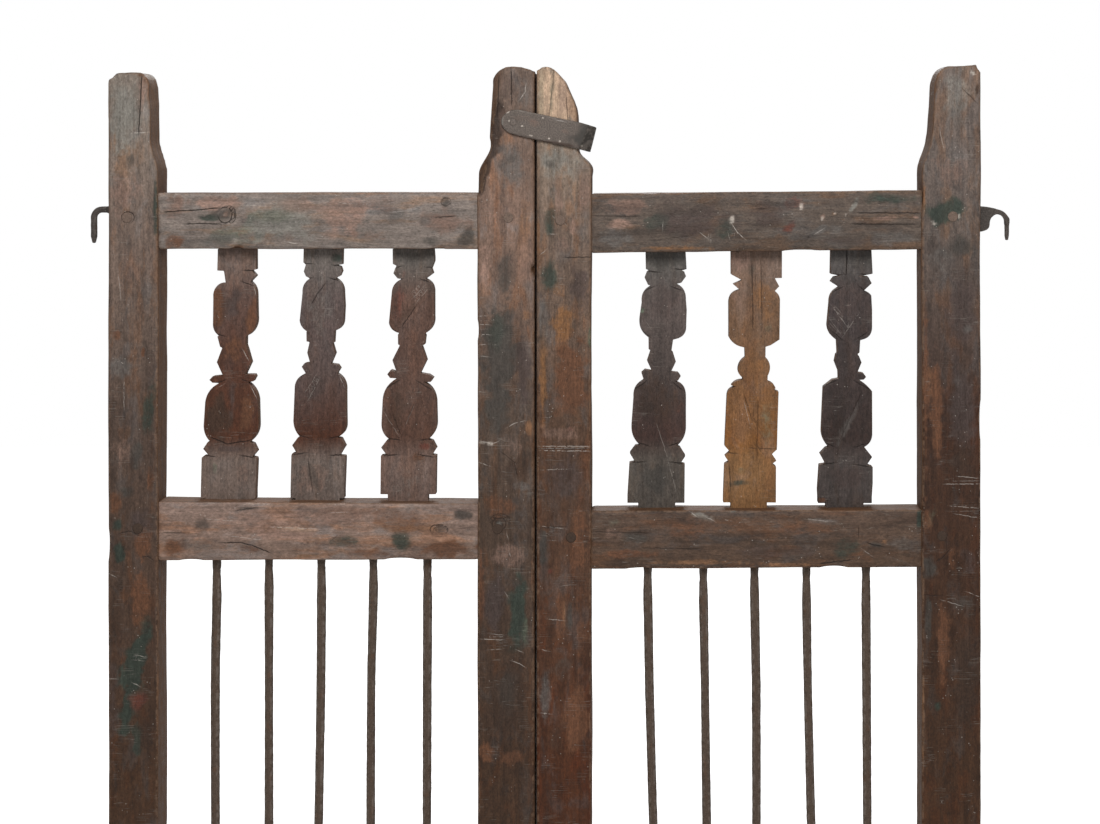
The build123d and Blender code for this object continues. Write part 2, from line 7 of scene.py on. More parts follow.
# %% The frame that all pieces sit in
import json
import math
import bpy
import numpy as np
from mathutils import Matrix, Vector


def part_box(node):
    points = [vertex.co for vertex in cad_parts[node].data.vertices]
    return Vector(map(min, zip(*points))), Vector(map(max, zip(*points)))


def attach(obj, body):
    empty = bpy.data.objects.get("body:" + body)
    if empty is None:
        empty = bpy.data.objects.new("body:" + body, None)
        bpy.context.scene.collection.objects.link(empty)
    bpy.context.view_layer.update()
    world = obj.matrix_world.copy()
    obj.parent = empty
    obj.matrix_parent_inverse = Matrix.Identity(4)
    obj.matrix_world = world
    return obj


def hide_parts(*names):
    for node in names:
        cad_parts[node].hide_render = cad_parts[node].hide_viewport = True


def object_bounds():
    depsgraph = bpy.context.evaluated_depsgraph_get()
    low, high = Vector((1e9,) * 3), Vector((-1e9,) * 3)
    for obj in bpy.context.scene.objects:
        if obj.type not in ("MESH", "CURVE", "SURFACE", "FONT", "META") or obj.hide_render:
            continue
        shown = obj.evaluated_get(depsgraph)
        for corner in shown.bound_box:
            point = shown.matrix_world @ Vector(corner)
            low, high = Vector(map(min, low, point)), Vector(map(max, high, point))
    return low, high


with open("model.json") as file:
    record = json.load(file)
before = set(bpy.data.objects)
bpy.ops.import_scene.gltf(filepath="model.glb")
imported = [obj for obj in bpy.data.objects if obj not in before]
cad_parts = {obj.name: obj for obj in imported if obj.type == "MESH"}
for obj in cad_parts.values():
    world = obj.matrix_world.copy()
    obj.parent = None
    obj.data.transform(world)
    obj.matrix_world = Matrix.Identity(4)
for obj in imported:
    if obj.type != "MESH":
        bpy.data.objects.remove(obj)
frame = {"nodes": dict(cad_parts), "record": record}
cad_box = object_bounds()
bodies = frame["record"]["behaviour"]["bodies"]
slot_of = {part["node"]: part["material_slot"] for part in frame["record"]["subparts"]}
print("solids:", len(frame["nodes"]), "box:", cad_box)

# %% [markdown]
# Places on the gate were measured on its photograph, in that picture's pixels. One pixel on the
# front faces of the stiles is 1.753 mm, and the camera stands 3.4 m in front of them. Two small
# helpers turn a picture place into metres, and a third finds where a corner of a piece shows in the
# picture. So every stain and crack can be written down the way it was read.

# %% From picture places to metres
PIXEL = 0.001753
PICTURE_WIDE, PICTURE_TALL = 1100.0, 824.0
AHEAD_X, AHEAD_Y = 640.0, 165.0
LENS_PIXELS = 1939.5
EYE = (0.9783, -3.476, 0.0979)


def across(px):
    return (px - AHEAD_X) * PIXEL + EYE[0]


def height(py):
    return (AHEAD_Y - py) * PIXEL + EYE[2]


def picture_places(co):
    """Where each corner of a piece shows in the picture, at the depth it really has."""
    scale = LENS_PIXELS / (co[:, 1] - EYE[1])
    return AHEAD_X + (co[:, 0] - EYE[0]) * scale, AHEAD_Y - (co[:, 2] - EYE[2]) * scale


print("the foot of the left top rail is at", round(height(249.5), 3), "m")

# %% [markdown]
# ## Shaping by hand
# An operator in Blender acts on everything that is selected, and the frame comes in all selected.
# So each step begins by choosing one piece alone.

# %% Choosing and finishing a piece
def only(piece):
    bpy.ops.object.select_all(action="DESELECT")
    piece.select_set(True)
    bpy.context.view_layer.objects.active = piece


def edit(piece):
    only(piece)
    bpy.ops.object.mode_set(mode="EDIT")
    bpy.ops.mesh.select_mode(type="VERT")


def done():
    bpy.ops.object.mode_set(mode="OBJECT")


def apply_all(piece):
    only(piece)
    for modifier in list(piece.modifiers):
        bpy.ops.object.modifier_apply(modifier=modifier.name)


def read_all(items, field):
    flat = np.empty(len(items) * 3, np.float32)
    items.foreach_get(field, flat)
    return flat.reshape(-1, 3)


def choose_all():
    bpy.ops.mesh.select_all(action="SELECT")


def corners(piece):
    return read_all(piece.data.vertices, "co")


def normals(piece):
    return read_all(piece.data.vertex_normals, "vector")


def move_corners(piece, co):
    piece.data.vertices.foreach_set("co", co.ravel())
    piece.data.update()


# %% [markdown]
# A timber starts from a copy of its solid. The mortises and peg holes inside it are never seen once
# the gate is put together, so they are filled: the corners around them are copied and wrapped in a
# tight skin, which overlaps the timber. A voxel remesh then makes one even skin around it all, fine
# enough to be carved. It also softens each corner by about one voxel, as handling does.

# %% Stock for a piece
def stock(node, finish):
    piece = bpy.data.objects.new(f"{node}_{finish}", frame["nodes"][node].data.copy())
    bpy.context.scene.collection.objects.link(piece)
    piece.data.materials.clear()
    edit(piece)
    choose_all()
    bpy.ops.mesh.remove_doubles(threshold=1e-6)
    done()
    return piece


def fill(piece, low, high):
    """Wraps the corners inside a box in their own tight skin, so that hollows there close."""
    co = corners(piece)
    inside = ((co >= np.array(low)) & (co <= np.array(high))).all(axis=1)
    edit(piece)
    bpy.ops.mesh.select_all(action="DESELECT")
    done()
    piece.data.vertices.foreach_set("select", inside)
    edit(piece)
    bpy.ops.mesh.duplicate()
    bpy.ops.mesh.convex_hull(delete_unused=True, use_existing_faces=False)
    done()


def skin(piece, cell):
    remesh = piece.modifiers.new("skin", "REMESH")
    remesh.mode = "VOXEL"
    remesh.voxel_size = cell
    apply_all(piece)
    only(piece)
    bpy.ops.object.shade_smooth()


# %% [markdown]
# Hand-hewn wood is never flat. Two cloud patterns push the skin in and out: a long slow one that
# follows the grain, and a short one for the marks of the adze. A guide empty, drawn out along the
# grain, stretches the pattern. The push is mostly inwards, so that neighbours never collide.

# %% Hewing
def clouds(name, size, depth):
    pattern = bpy.data.textures.new(name, "CLOUDS")
    pattern.noise_scale = size
    pattern.noise_depth = depth
    return pattern


def guide(name, stretch, shift):
    empty = bpy.data.objects.new(name, None)
    bpy.context.scene.collection.objects.link(empty)
    empty.scale = stretch
    empty.location = shift
    bpy.context.view_layer.update()
    return empty


MOSTLY_IN = 0.7
PRIMES = np.array([73856093, 19349663, 83492791])
SQUARE, ROUNDED = 0.97, 0.82
WORN_LEVELS = 10
slow_clouds = clouds("slow_clouds", 0.045, 1)
adze_clouds = clouds("adze_clouds", 0.014, 2)
pit_clouds = clouds("pit_clouds", 0.004, 2)
upright_guide = guide("upright_guide", (1.0, 1.0, 5.0), (0.31, 0.11, 0.0))
level_guide = guide("level_guide", (5.0, 1.0, 1.0), (0.0, 0.17, 0.23))


def push(piece, pattern, depth, along=None):
    wave = piece.modifiers.new(pattern.name, "DISPLACE")
    wave.texture = pattern
    wave.strength = depth
    wave.mid_level = MOSTLY_IN
    wave.texture_coords = "OBJECT" if along else "LOCAL"
    wave.texture_coords_object = along


def lattice_noise(co, size, seed):
    """A smooth random value for each corner, the same in every run."""
    p = co / size + seed * 17.13
    cell = np.floor(p).astype(np.int64)
    part = p - cell
    part = part * part * (3 - 2 * part)
    total = np.zeros(len(co))
    for corner in range(8):
        step = np.array([(corner >> k) & 1 for k in range(3)])
        key = (cell + step) @ PRIMES
        key = (key ^ (key >> 13)) * 1274126177 & 0x7FFFFFFF
        value = (key % 10007) / 10007.0
        weight = np.where(step == 1, part, 1 - part).prod(axis=1)
        total += value * weight
    return total


def rub(piece, passes, size, seed):
    """Rounds the corners of a timber by a different amount from place to place."""
    co, no = corners(piece), normals(piece)
    edge = np.clip((SQUARE - np.abs(no).max(axis=1)) / (SQUARE - ROUNDED), 0, 1)
    strength = edge * np.clip(lattice_noise(co, size, seed) * 2.4 - 0.7, 0, 1)
    near = piece.vertex_groups.new(name="worn")
    for level in range(1, WORN_LEVELS + 1):
        low, high = (level - 1) / WORN_LEVELS, level / WORN_LEVELS
        chosen = np.nonzero((strength > low) & (strength <= high))[0]
        if len(chosen):
            near.add(chosen.tolist(), high, "REPLACE")
    soften = piece.modifiers.new("rubbed", "SMOOTH")
    soften.factor = 0.5
    soften.iterations = passes
    soften.vertex_group = "worn"
    apply_all(piece)


def within_box(piece):
    """Keeps a carved piece inside the box that the whole gate fills."""
    move_corners(piece, np.clip(corners(piece), np.array(cad_box[0]), np.array(cad_box[1])))


def settle(piece, node):
    """The piece stands in for its solid and moves with its body."""
    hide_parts(node)
    for body, members in bodies.items():
        if node in members:
            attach(piece, body)
    print(piece.name, "triangles:", sum(len(p.vertices) - 2 for p in piece.data.polygons))


print("patterns:", slow_clouds.name, adze_clouds.name, pit_clouds.name)

# %% [markdown]
# ## The stiles
# Four thick posts carry everything. Their horns rise above the top rail, each shaped to its own
# curve, and one carries a broad bevel. The stock is filled up to the foot of the horn.

# %% Hewing the four stiles
CELL = 0.0038
SLOW_DEPTH, ADZE_DEPTH = 0.0030, 0.0012
SPARE = 0.01
STILE_RUB, RAIL_RUB = (14, 0.05), (12, 0.04)
HORN_FOOT = {"left_outer": 0.085, "left_meeting": 0.045, "right_meeting": 0.078, "right_outer": 0.080}
pieces = {}


def hew(timber, along, rubbing, seed):
    """Skins, pushes and rubs a timber; rubbing says how many passes, in patches of which size."""
    skin(timber, CELL)
    push(timber, slow_clouds, SLOW_DEPTH, along)
    push(timber, adze_clouds, ADZE_DEPTH, along)
    apply_all(timber)
    rub(timber, *rubbing, seed)


for number, (place, foot) in enumerate(HORN_FOOT.items()):
    node = place + "_stile"
    stile = stock(node, "hewn")
    low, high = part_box(node)
    fill(stile, [edge - SPARE for edge in low], (high[0] + SPARE, high[1] + SPARE, foot))
    hew(stile, upright_guide, STILE_RUB, number + 1)
    pieces[node] = stile
print("stiles:", len(pieces))

# %% [markdown]
# ## The rails
# Each leaf has three rails. A rail's stock keeps its tenons, which fill the mortises' mouths, and
# only its body between the shoulders is filled. The skin rounds a shoulder's edge, so the last
# centimetre is drawn on into the stile, where a real shoulder sits tight as well.

# %% Hewing the six rails
SHOULDERS = {"left": (0.1334, 0.6926), "right": (0.8934, 1.4721)}
DRAWN_PART, DRAWN_BY = 0.012, 0.0045

for side, (start, end) in SHOULDERS.items():
    for number, level in enumerate(("top", "middle", "bottom")):
        node = f"{side}_{level}_rail"
        beam = stock(node, "hewn")
        low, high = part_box(node)
        fill(beam, (start, low[1] - SPARE, low[2] - SPARE), (end, high[1] + SPARE, high[2] + SPARE))
        hew(beam, level_guide, RAIL_RUB, number + 7)
        co = corners(beam)
        for shoulder, way in ((start, -1.0), (end, 1.0)):
            inwards = np.clip(1 - np.maximum(0, (co[:, 0] - shoulder) * -way) / DRAWN_PART, 0, 1)
            co[:, 0] += way * DRAWN_BY * inwards
        move_corners(beam, co)
        pieces[node] = beam
print("stiles and rails:", len(pieces))

# %% [markdown]
# ## The balusters
# Six flat boards are sawn to the outline of a turned baluster: square blocks, pointed collars and
# two vases. A voxel skin would blunt those points. So the board keeps its sawn outline, its corners
# are bevelled a little, and it is then cut into small squares, which gives the push of the adze and
# the painted masks something to hold on to.

# %% Sawing the six balusters
SQUARES = ((0, 0.0040), (2, 0.0045))
ARRIS, ARRIS_STEPS = 0.0013, 3
FLAT, SHARP, SMOOTHED = math.radians(1.0), math.radians(50.0), math.radians(40.0)
BOARD_SLOW, BOARD_ADZE = 0.0008, 0.0004


def sawn(node):
    board = stock(node, "sawn")
    edit(board)
    choose_all()
    bpy.ops.mesh.dissolve_limited(angle_limit=FLAT)
    done()
    soften = board.modifiers.new("arris", "BEVEL")
    soften.width, soften.segments, soften.limit_method = ARRIS, ARRIS_STEPS, "ANGLE"
    soften.angle_limit = SHARP
    apply_all(board)
    low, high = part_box(node)
    edit(board)
    for axis, step in SQUARES:
        normal = [0.0, 0.0, 0.0]
        normal[axis] = 1.0
        for k in range(1, int((high[axis] - low[axis]) / step) + 1):
            place = [0.0, 0.0, 0.0]
            place[axis] = low[axis] + k * step
            choose_all()
            bpy.ops.mesh.bisect(plane_co=place, plane_no=normal)
    choose_all()
    bpy.ops.mesh.remove_doubles(threshold=1e-5)
    done()
    bpy.ops.object.shade_smooth_by_angle(angle=SMOOTHED)
    return board


for side in ("left", "right"):
    for number in (1, 2, 3):
        node = f"{side}_baluster_{number}"
        board = sawn(node)
        push(board, slow_clouds, BOARD_SLOW, upright_guide)
        push(board, adze_clouds, BOARD_ADZE, upright_guide)
        apply_all(board)
        pieces[node] = board
print("wooden pieces:", len(pieces))

# %% [markdown]
# ## The iron
# Bars, hooks and strap were forged: nearly even, never quite. A voxel skin gives them their soft
# edges, and small clouds give the hammer's facets and the pits of rust.

# %% Forging bars, hooks and strap
BAR, HOOK, STRAP = (0.0030, 0.0010, 0.0004), (0.0018, 0.0008, 0.0003), (0.0016, 0.0005, 0.0002)
HEAD, SLICES, NEAR = 0.16, 28, 0.006
INTO_RAIL, WIDEST = 0.012, 2.4
BELOW_HEAD, FULL_SHARE = 10, 0.94


def forge(node, cell, dents, pits):
    """Skins an iron piece in cells of a size, then beats dents and pits into it."""
    work = stock(node, "forged")
    skin(work, cell)
    push(work, adze_clouds, dents)
    push(work, pit_clouds, pits)
    apply_all(work)
    pieces[node] = work


def thicken_head(bar, rail):
    """A bar keeps its full width up to the rail, as the smith left it."""
    co = corners(bar)
    top = min(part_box(rail)[0][2] + INTO_RAIL, co[:, 2].max() - NEAR)
    levels = np.linspace(top - HEAD, top, SLICES)
    middle, half = [], []
    for z in levels:
        near = np.abs(co[:, 2] - z) < NEAR
        low, high = co[near].min(axis=0), co[near].max(axis=0)
        middle.append((low + high)[:2] / 2)
        half.append((high - low)[:2] / 2)
    middle, half = np.array(middle), np.array(half)
    full = np.median(half[:BELOW_HEAD], axis=0) * FULL_SHARE
    zone = (co[:, 2] > levels[0]) & (co[:, 2] < levels[-1])
    for axis in (0, 1):
        centre = np.interp(co[zone, 2], levels, middle[:, axis])
        here = np.interp(co[zone, 2], levels, half[:, axis])
        grow = np.clip(full[axis] / here, 1.0, WIDEST)
        co[zone, axis] = centre + (co[zone, axis] - centre) * grow
    move_corners(bar, co)


for side in ("left", "right"):
    for number in range(1, 6):
        node = f"{side}_bar_{number}"
        forge(node, *BAR)
        thicken_head(pieces[node], side + "_middle_rail")
    for place in ("upper", "lower"):
        forge(f"{side}_{place}_hook", *HOOK)
forge("latch_strap", *STRAP)

for empty in (upright_guide, level_guide):
    bpy.data.objects.remove(empty)
print("all shaped pieces:", len(pieces))

# %% [markdown]
# ## Chips and wanes
# Knocks, wanes and broken corners were read from the picture one by one: where, how wide, how tall
# and how deep. The first four are in pixels and the depth is in metres.

# %% Knocking off the corners
CHIPS = {
    "left_outer_stile": ((110, 74, 6, 5, 0.003), (150, 96, 4, 12, 0.002), (107, 545, 4, 16, 0.002)),
    "left_meeting_stile": ((477, 330, 3, 10, 0.002), (534, 270, 4, 9, 0.004)),
    "right_meeting_stile": ((537, 257, 4, 4, 0.002), (592, 470, 3, 12, 0.002)),
    "right_outer_stile": ((924, 195, 5, 14, 0.003), (980, 68, 5, 4, 0.003), (981, 420, 3, 20, 0.002)),
    "left_top_rail": ((236, 249, 6, 4, 0.004), (168, 194, 6, 3, 0.003), (436, 249, 9, 3, 0.002)),
    "right_top_rail": ((802, 252, 19, 4, 0.004), (916, 217, 4, 4, 0.003), (650, 192, 10, 3, 0.002)),
    "left_middle_rail": ((250, 552, 22, 7, 0.002), (400, 561, 16, 4, 0.003), (190, 561, 12, 3, 0.002)),
    "right_middle_rail": ((834, 566, 16, 5, 0.004), (914, 500, 4, 5, 0.003), (640, 569, 14, 3, 0.002)),
}
CHIP_FACE, CHIP_REACH = -0.074, 0.035


def knock(piece, px, py, wide, tall, deep):
    """Presses a chip or a wane into a timber around a picture place."""
    co, no = corners(piece), normals(piece)
    u = (co[:, 0] - across(px)) / (wide * PIXEL)
    v = (co[:, 2] - height(py)) / (tall * PIXEL)
    w = (co[:, 1] - CHIP_FACE) / CHIP_REACH
    near = np.clip(1 - (u * u + v * v + w * w), 0, 1) ** 0.7
    move_corners(piece, co - no * (near * deep)[:, None])


for node, chips in CHIPS.items():
    for chip in chips:
        knock(pieces[node], *chip)
print("chips:", sum(len(chips) for chips in CHIPS.values()))

# %% [markdown]
# The two leaves meet with a slit that is nearly closed, so that no light comes through. The faces
# beside the slit are therefore pulled back close to the planes of the solids after the carving. The
# left one leans over a little towards the back.

# %% Closing the slit
LEFT_FACE, RIGHT_FACE = 0.793, 0.7972
LEFT_FROM, RIGHT_TO = 0.789, 0.8015
LEAN, FRONT, THICK = 0.0012, -0.076, 0.070

left, right = pieces["left_meeting_stile"], pieces["right_meeting_stile"]
co, no = corners(left), normals(left)
beside = (co[:, 0] > LEFT_FROM) & (no[:, 0] > 0.8)
co[beside, 0] = LEFT_FACE + LEAN * (co[beside, 1] - FRONT) / THICK
move_corners(left, co)
co, no = corners(right), normals(right)
beside = (co[:, 0] < RIGHT_TO) & (no[:, 0] < -0.8)
co[beside, 0] = RIGHT_FACE
move_corners(right, co)
print("slit:", round((RIGHT_FACE - LEFT_FACE) * 1000, 1), "mm in front")

# %% [markdown]
# ## Where the weather has been, and painted light
# Paint, dirt, rust stains and bare wood sit at certain places, and so do some painted shade and painted
# highlights. They are painted onto the timbers as soft spots of a few named colours, kept in one colour
# attribute whose last channel says how much of it there is. Cracks and scratches are thin, so for them
# each corner keeps its distance to the nearest line, and the material draws the line from that
# distance. A line's strength is full within 3.1 pixels of it and gone at 5.7, and it sinks over the last
# 3.4 pixels at either end.

# %% The colours of age, and of painted light
AGE_AND_LIGHT = {
    "bare": (0.50, 0.345, 0.235), "chip": (0.50, 0.44, 0.38), "pink": (0.250, 0.155, 0.118),
    "blush": (0.170, 0.105, 0.080), "orange": (0.200, 0.100, 0.050), "rust": (0.112, 0.048, 0.024),
    "red": (0.110, 0.034, 0.022), "gold": (0.190, 0.088, 0.034), "steel": (0.105, 0.092, 0.083),
    # The pale grey here stands partly for the wood's own grey and partly for a painted sheen.
    "mist": (0.182, 0.170, 0.148), "slate": (0.048, 0.042, 0.036), "moss": (0.028, 0.040, 0.031),
    "lichen": (0.095, 0.115, 0.080), "umber": (0.045, 0.025, 0.016), "black": (0.013, 0.008, 0.006),
    # The near black last colour is painted shade, laid on the bevel of the left meeting stile.
    "plum": (0.058, 0.040, 0.035), "soot": (0.026, 0.015, 0.010),
}
TORN_BROAD, TORN_FINE = 0.016, 0.006
RING_STEPS = 14
FAR_OFF, TAPER = 50.0, 3.4
FADED, SHOWN = 5.7, 3.1
PAST_END, AT_END = 3.0, 0.6


def entries(notes):
    """Splits written notes into entries, and each entry into its words."""
    return [entry.split() for entry in notes.split(";") if entry.strip()]


def soft_step(value, low, high):
    t = np.clip((value - low) / (high - low), 0, 1)
    return t * t * (3 - 2 * t)


def paint(piece, notes, seed):
    """Each spot: colour, picture place, half width, half height, strength, and turn in degrees."""
    co, no = corners(piece), normals(piece)
    seen_x, seen_y = picture_places(co)
    front = soft_step(-no[:, 1], -0.2, 0.3)
    torn = (lattice_noise(co, TORN_BROAD, seed) - 0.5) * 0.9
    torn = torn + (lattice_noise(co, TORN_FINE, seed + 5) - 0.5) * 0.5
    colour, cover = np.zeros((len(co), 3)), np.zeros(len(co))
    for kind, *words in entries(notes):
        px, py, wide, tall, strength, turn = [*map(float, words), 0.0][:6]
        dx, dz = seen_x - px, seen_y - py
        c, s = math.cos(math.radians(turn)), math.sin(math.radians(turn))
        far = np.hypot((dx * c + dz * s) / wide, (dz * c - dx * s) / tall)
        here = soft_step(far + torn * np.clip(far, 0, 1), 1.35, 0.35) * strength * front
        both = here + cover * (1 - here)
        share = np.where(both > 1e-6, here / np.maximum(both, 1e-6), 0)[:, None]
        colour = colour * (1 - share) + np.array(AGE_AND_LIGHT[kind]) * share
        cover = both
    layer = piece.data.attributes.new("paint", "FLOAT_COLOR", "POINT")
    layer.data.foreach_set("color", np.column_stack([colour, cover]).astype(np.float32).ravel())


def ring(centre, half, turns):
    """The places around a knot, from one angle to another."""
    start, end = turns
    angles = [math.radians(start + (end - start) * k / RING_STEPS) for k in range(RING_STEPS + 1)]
    return [(centre[0] + half[0] * math.cos(t), centre[1] + half[1] * math.sin(t)) for t in angles]


def nearest_line(co, notes):
    """Signed distance to the nearest line, in millimetres, and how strongly that line shows."""
    x, y = picture_places(co)
    best, side, show = np.full(len(co), np.inf), np.full(len(co), FAR_OFF), np.zeros(len(co))
    for strength, *words in entries(notes):
        points = [tuple(map(float, word.split(","))) for word in words if word != "ring"]
        if words[0] == "ring":
            points = ring(*points)
        count = len(points) - 1
        for k, ((ax, ay), (bx, by)) in enumerate(zip(points, points[1:])):
            ux, uy = bx - ax, by - ay
            length = math.hypot(ux, uy)
            raw = ((x - ax) * ux + (y - ay) * uy) / length ** 2
            t = np.clip(raw, 0, 1)
            gap = np.hypot(x - ax - t * ux, y - ay - t * uy)
            sign = ((x - ax) * uy - (y - ay) * ux) / length
            way = (k + t) / count
            taper = soft_step(np.minimum(way, 1 - way) * count * length, 0.0, TAPER) * 0.7 + 0.3
            near = gap < best
            best = np.where(near, gap, best)
            side = np.where(near, sign * PIXEL * 1000, side)
            past = np.abs(raw - t) * length
            stop = soft_step(past, PAST_END, AT_END) if k in (0, count - 1) else 1.0
            shown = float(strength) * taper * stop * soft_step(gap, FADED, SHOWN)
            show = np.where(near, shown, show)
    return np.clip(side, -FAR_OFF, FAR_OFF), show


def draw(piece, cracks, scratches):
    co, no = corners(piece), normals(piece)
    front = soft_step(-no[:, 1], -0.1, 0.3)
    mask = np.zeros((len(co), 4), np.float32)
    for column, notes in ((0, cracks), (2, scratches)):
        mask[:, column], show = nearest_line(co, notes)
        mask[:, column + 1] = show * front
    layer = piece.data.attributes.new("lines", "FLOAT_COLOR", "POINT")
    layer.data.foreach_set("color", mask.ravel())


print("colours of age:", len(AGE_AND_LIGHT))

# %% [markdown]
# The notes below say what was read on each timber, from the top down. A spot is a colour, its place
# in the picture, its half width and half height, its strength, and its turn where it has one. The
# stiles took the most: rain ran down them, and hands and carts rubbed the paint away.

# %% Spots on the stiles
SPOTS_AND_PAINTED_LIGHT = {
    # The pale grey spots high up on the horns are partly a painted sheen.
    "left_outer_stile": """
    mist 124 112 18 40 .75; pink 144 92 7 20 .6; rust 149 78 5 5 .9; rust 141 75 6 3 .8;
    slate 131 160 6 9 .55; mist 118 150 7 10 .5; pink 131 190 16 20 .45; blush 120 200 10 20 .5;
    steel 128 218 6 6 .6; moss 156 210 4 36 .9; pink 151.5 258 1.6 32 .6; blush 130 268 14 24 .4;
    rust 117 336 5 5 .7; rust 143 352 3 8 .8; steel 121 366 13 13 .7; moss 148 412 9 30 .7 6;
    blush 122 452 14 16 .4; slate 136 456 6 14 .8; rust 151 480 5 12 .7; slate 126 492 9 8 .7;
    rust 116 504 8 12 .8; moss 118 524 6 8 .8; plum 140 524 14 16 .7; moss 120 553 6 11 .9;
    rust 142 546 11 16 .8; rust 139 596 11 32 .85; umber 115 620 8 40 .6; moss 137 655 8 38 .95 22;
    moss 133 668 12 26 .95; moss 127 712 7 24 .9 12; red 138 701 8 8 .8; umber 146 735 10 26 .8;
    moss 137 742 5 18 .7; orange 158 700 1.5 62 .7; plum 112 700 6 50 .5""",
    # On this stile the first five near black spots darken the broad bevel of its horn: painted shade on a
    # face that turns away from the light.
    "left_meeting_stile": """
    soot 498 112 9 18 1 8; soot 495 132 9 17 1 8; soot 492 150 8 15 1 10; soot 485 168 9 15 1 24;
    soot 481 184 6 14 1 12; umber 488 92 5 20 .6; blush 498 80 7 14 .5; plum 512 88 9 18 .4;
    steel 526 95 7 20 .5; pink 503 120 4 12 .4; steel 512 165 15 26 .7; slate 511 159 5 4 .5 -30;
    blush 496 212 16 14 .4; orange 523 236 8 40 .55 3; pink 524 262 8 30 .55; pink 485 268 8 28 .6;
    orange 482 296 5 14 .35; slate 505 272 10 30 .65 8; slate 500 350 19 52 .92; moss 497 332 8 20 .6;
    orange 525 316 7 6 .5; plum 524 372 8 40 .8; slate 496 410 16 24 .7; orange 529 428 4 10 .95;
    chip 486 443 8 3 .5 8; blush 514 446 14 12 .4; umber 518 468 12 14 .6; steel 522 486 10 6 .6;
    rust 500 508 20 14 .6; black 499 523 7 5 .6 20; mist 499 525 3 5 .8 20; blush 508 556 22 16 .6;
    plum 495 606 11 32 .85; moss 518 612 10 38 .95 3; lichen 526 630 3.5 14 .55; rust 481 592 3 46 .8;
    rust 533 570 3 20 .6; umber 508 700 22 44 .85; slate 506 690 10 24 .5; rust 486 752 9 12 .9;
    rust 512 758 18 8 .7; black 536 270 4 9 .9""",
    "right_meeting_stile": """
    bare 557 94 24 32 1; lichen 541 94 4 26 .35; orange 573 108 5 18 .5 -14; pink 564 92 6 18 .5;
    lichen 552 92 1.6 24 .6 3; mist 552 160 16 20 .65; slate 550 164 5 4 .6 10; mist 575 165 12 20 .5;
    blush 584 190 8 26 .6; pink 558 196 5 18 .6; moss 550 222 6 18 .75; pink 573 226 5 14 .6;
    steel 582 232 8 18 .5; orange 538 236 2 18 .9; blush 562 244 10 10 .5; moss 549 278 10 17 .85;
    orange 558 290 6 8 .5 30; plum 580 284 11 26 .7; steel 543 324 6 26 .7; gold 563 326 12 20 .75;
    rust 571 380 18 44 .95; gold 543 380 4 44 .75; lichen 590 340 1.6 14 .7; red 570 429 4 2 .6;
    blush 562 434 22 10 .5; plum 566 480 26 32 .6; rust 579 518 9 20 .6; slate 543 550 6 22 .8;
    rust 577 554 11 24 .85; red 550 571 3 3 .7; rust 560 612 5 32 .6; slate 569 618 4 16 .7;
    orange 565 612 1.2 14 .8; rust 582 640 7 30 .6; steel 545 694 6 26 .65; rust 576 716 12 42 .9;
    slate 564 668 10 14 .5 30; umber 556 740 10 20 .5""",
    "right_outer_stile": """
    rust 936 84 3 16 .9 12; mist 956 92 16 24 .5; umber 977 90 2 9 .8; chip 973 73 4 2 .7 30;
    steel 955 120 18 16 .5; blush 950 172 22 20 .5; orange 924 199 2 14 .95; moss 945 213 20 13 .95 4;
    moss 958 206 10 10 .7; chip 932 223 3.2 1.2 .7 12; chip 947 227 3.4 1 .5 -8;
    chip 959 216 1.8 2.6 .75 -20; slate 961 246 18 13 .8; steel 940 262 16 16 .5; plum 962 310 16 50 .75;
    orange 929.5 388 .9 90 .8; rust 926 390 3 90 .7; rust 937 410 7 62 .85; steel 968 329 5 4 .7 20;
    steel 958 382 4 6 .7; plum 962 410 16 50 .8; umber 962 462 16 24 .6; lichen 933 514 5 12 .35 20;
    rust 928 520 6 16 .6; chip 941 538 3.4 1.4 .7 20; chip 975 550 2.4 .9 .6 -10; slate 930 568 9 15 .75;
    rust 952 560 6 18 .5; slate 962 604 18 11 .5; rust 944 642 6 42 .9; umber 966 680 14 56 .8;
    slate 928 620 4 30 .7; moss 938 706 5 6 .7; orange 923 700 1.4 60 .7; plum 970 560 8 14 .6""",
}
print("spots on the stiles:", sum(len(entries(notes)) for notes in SPOTS_AND_PAINTED_LIGHT.values()))
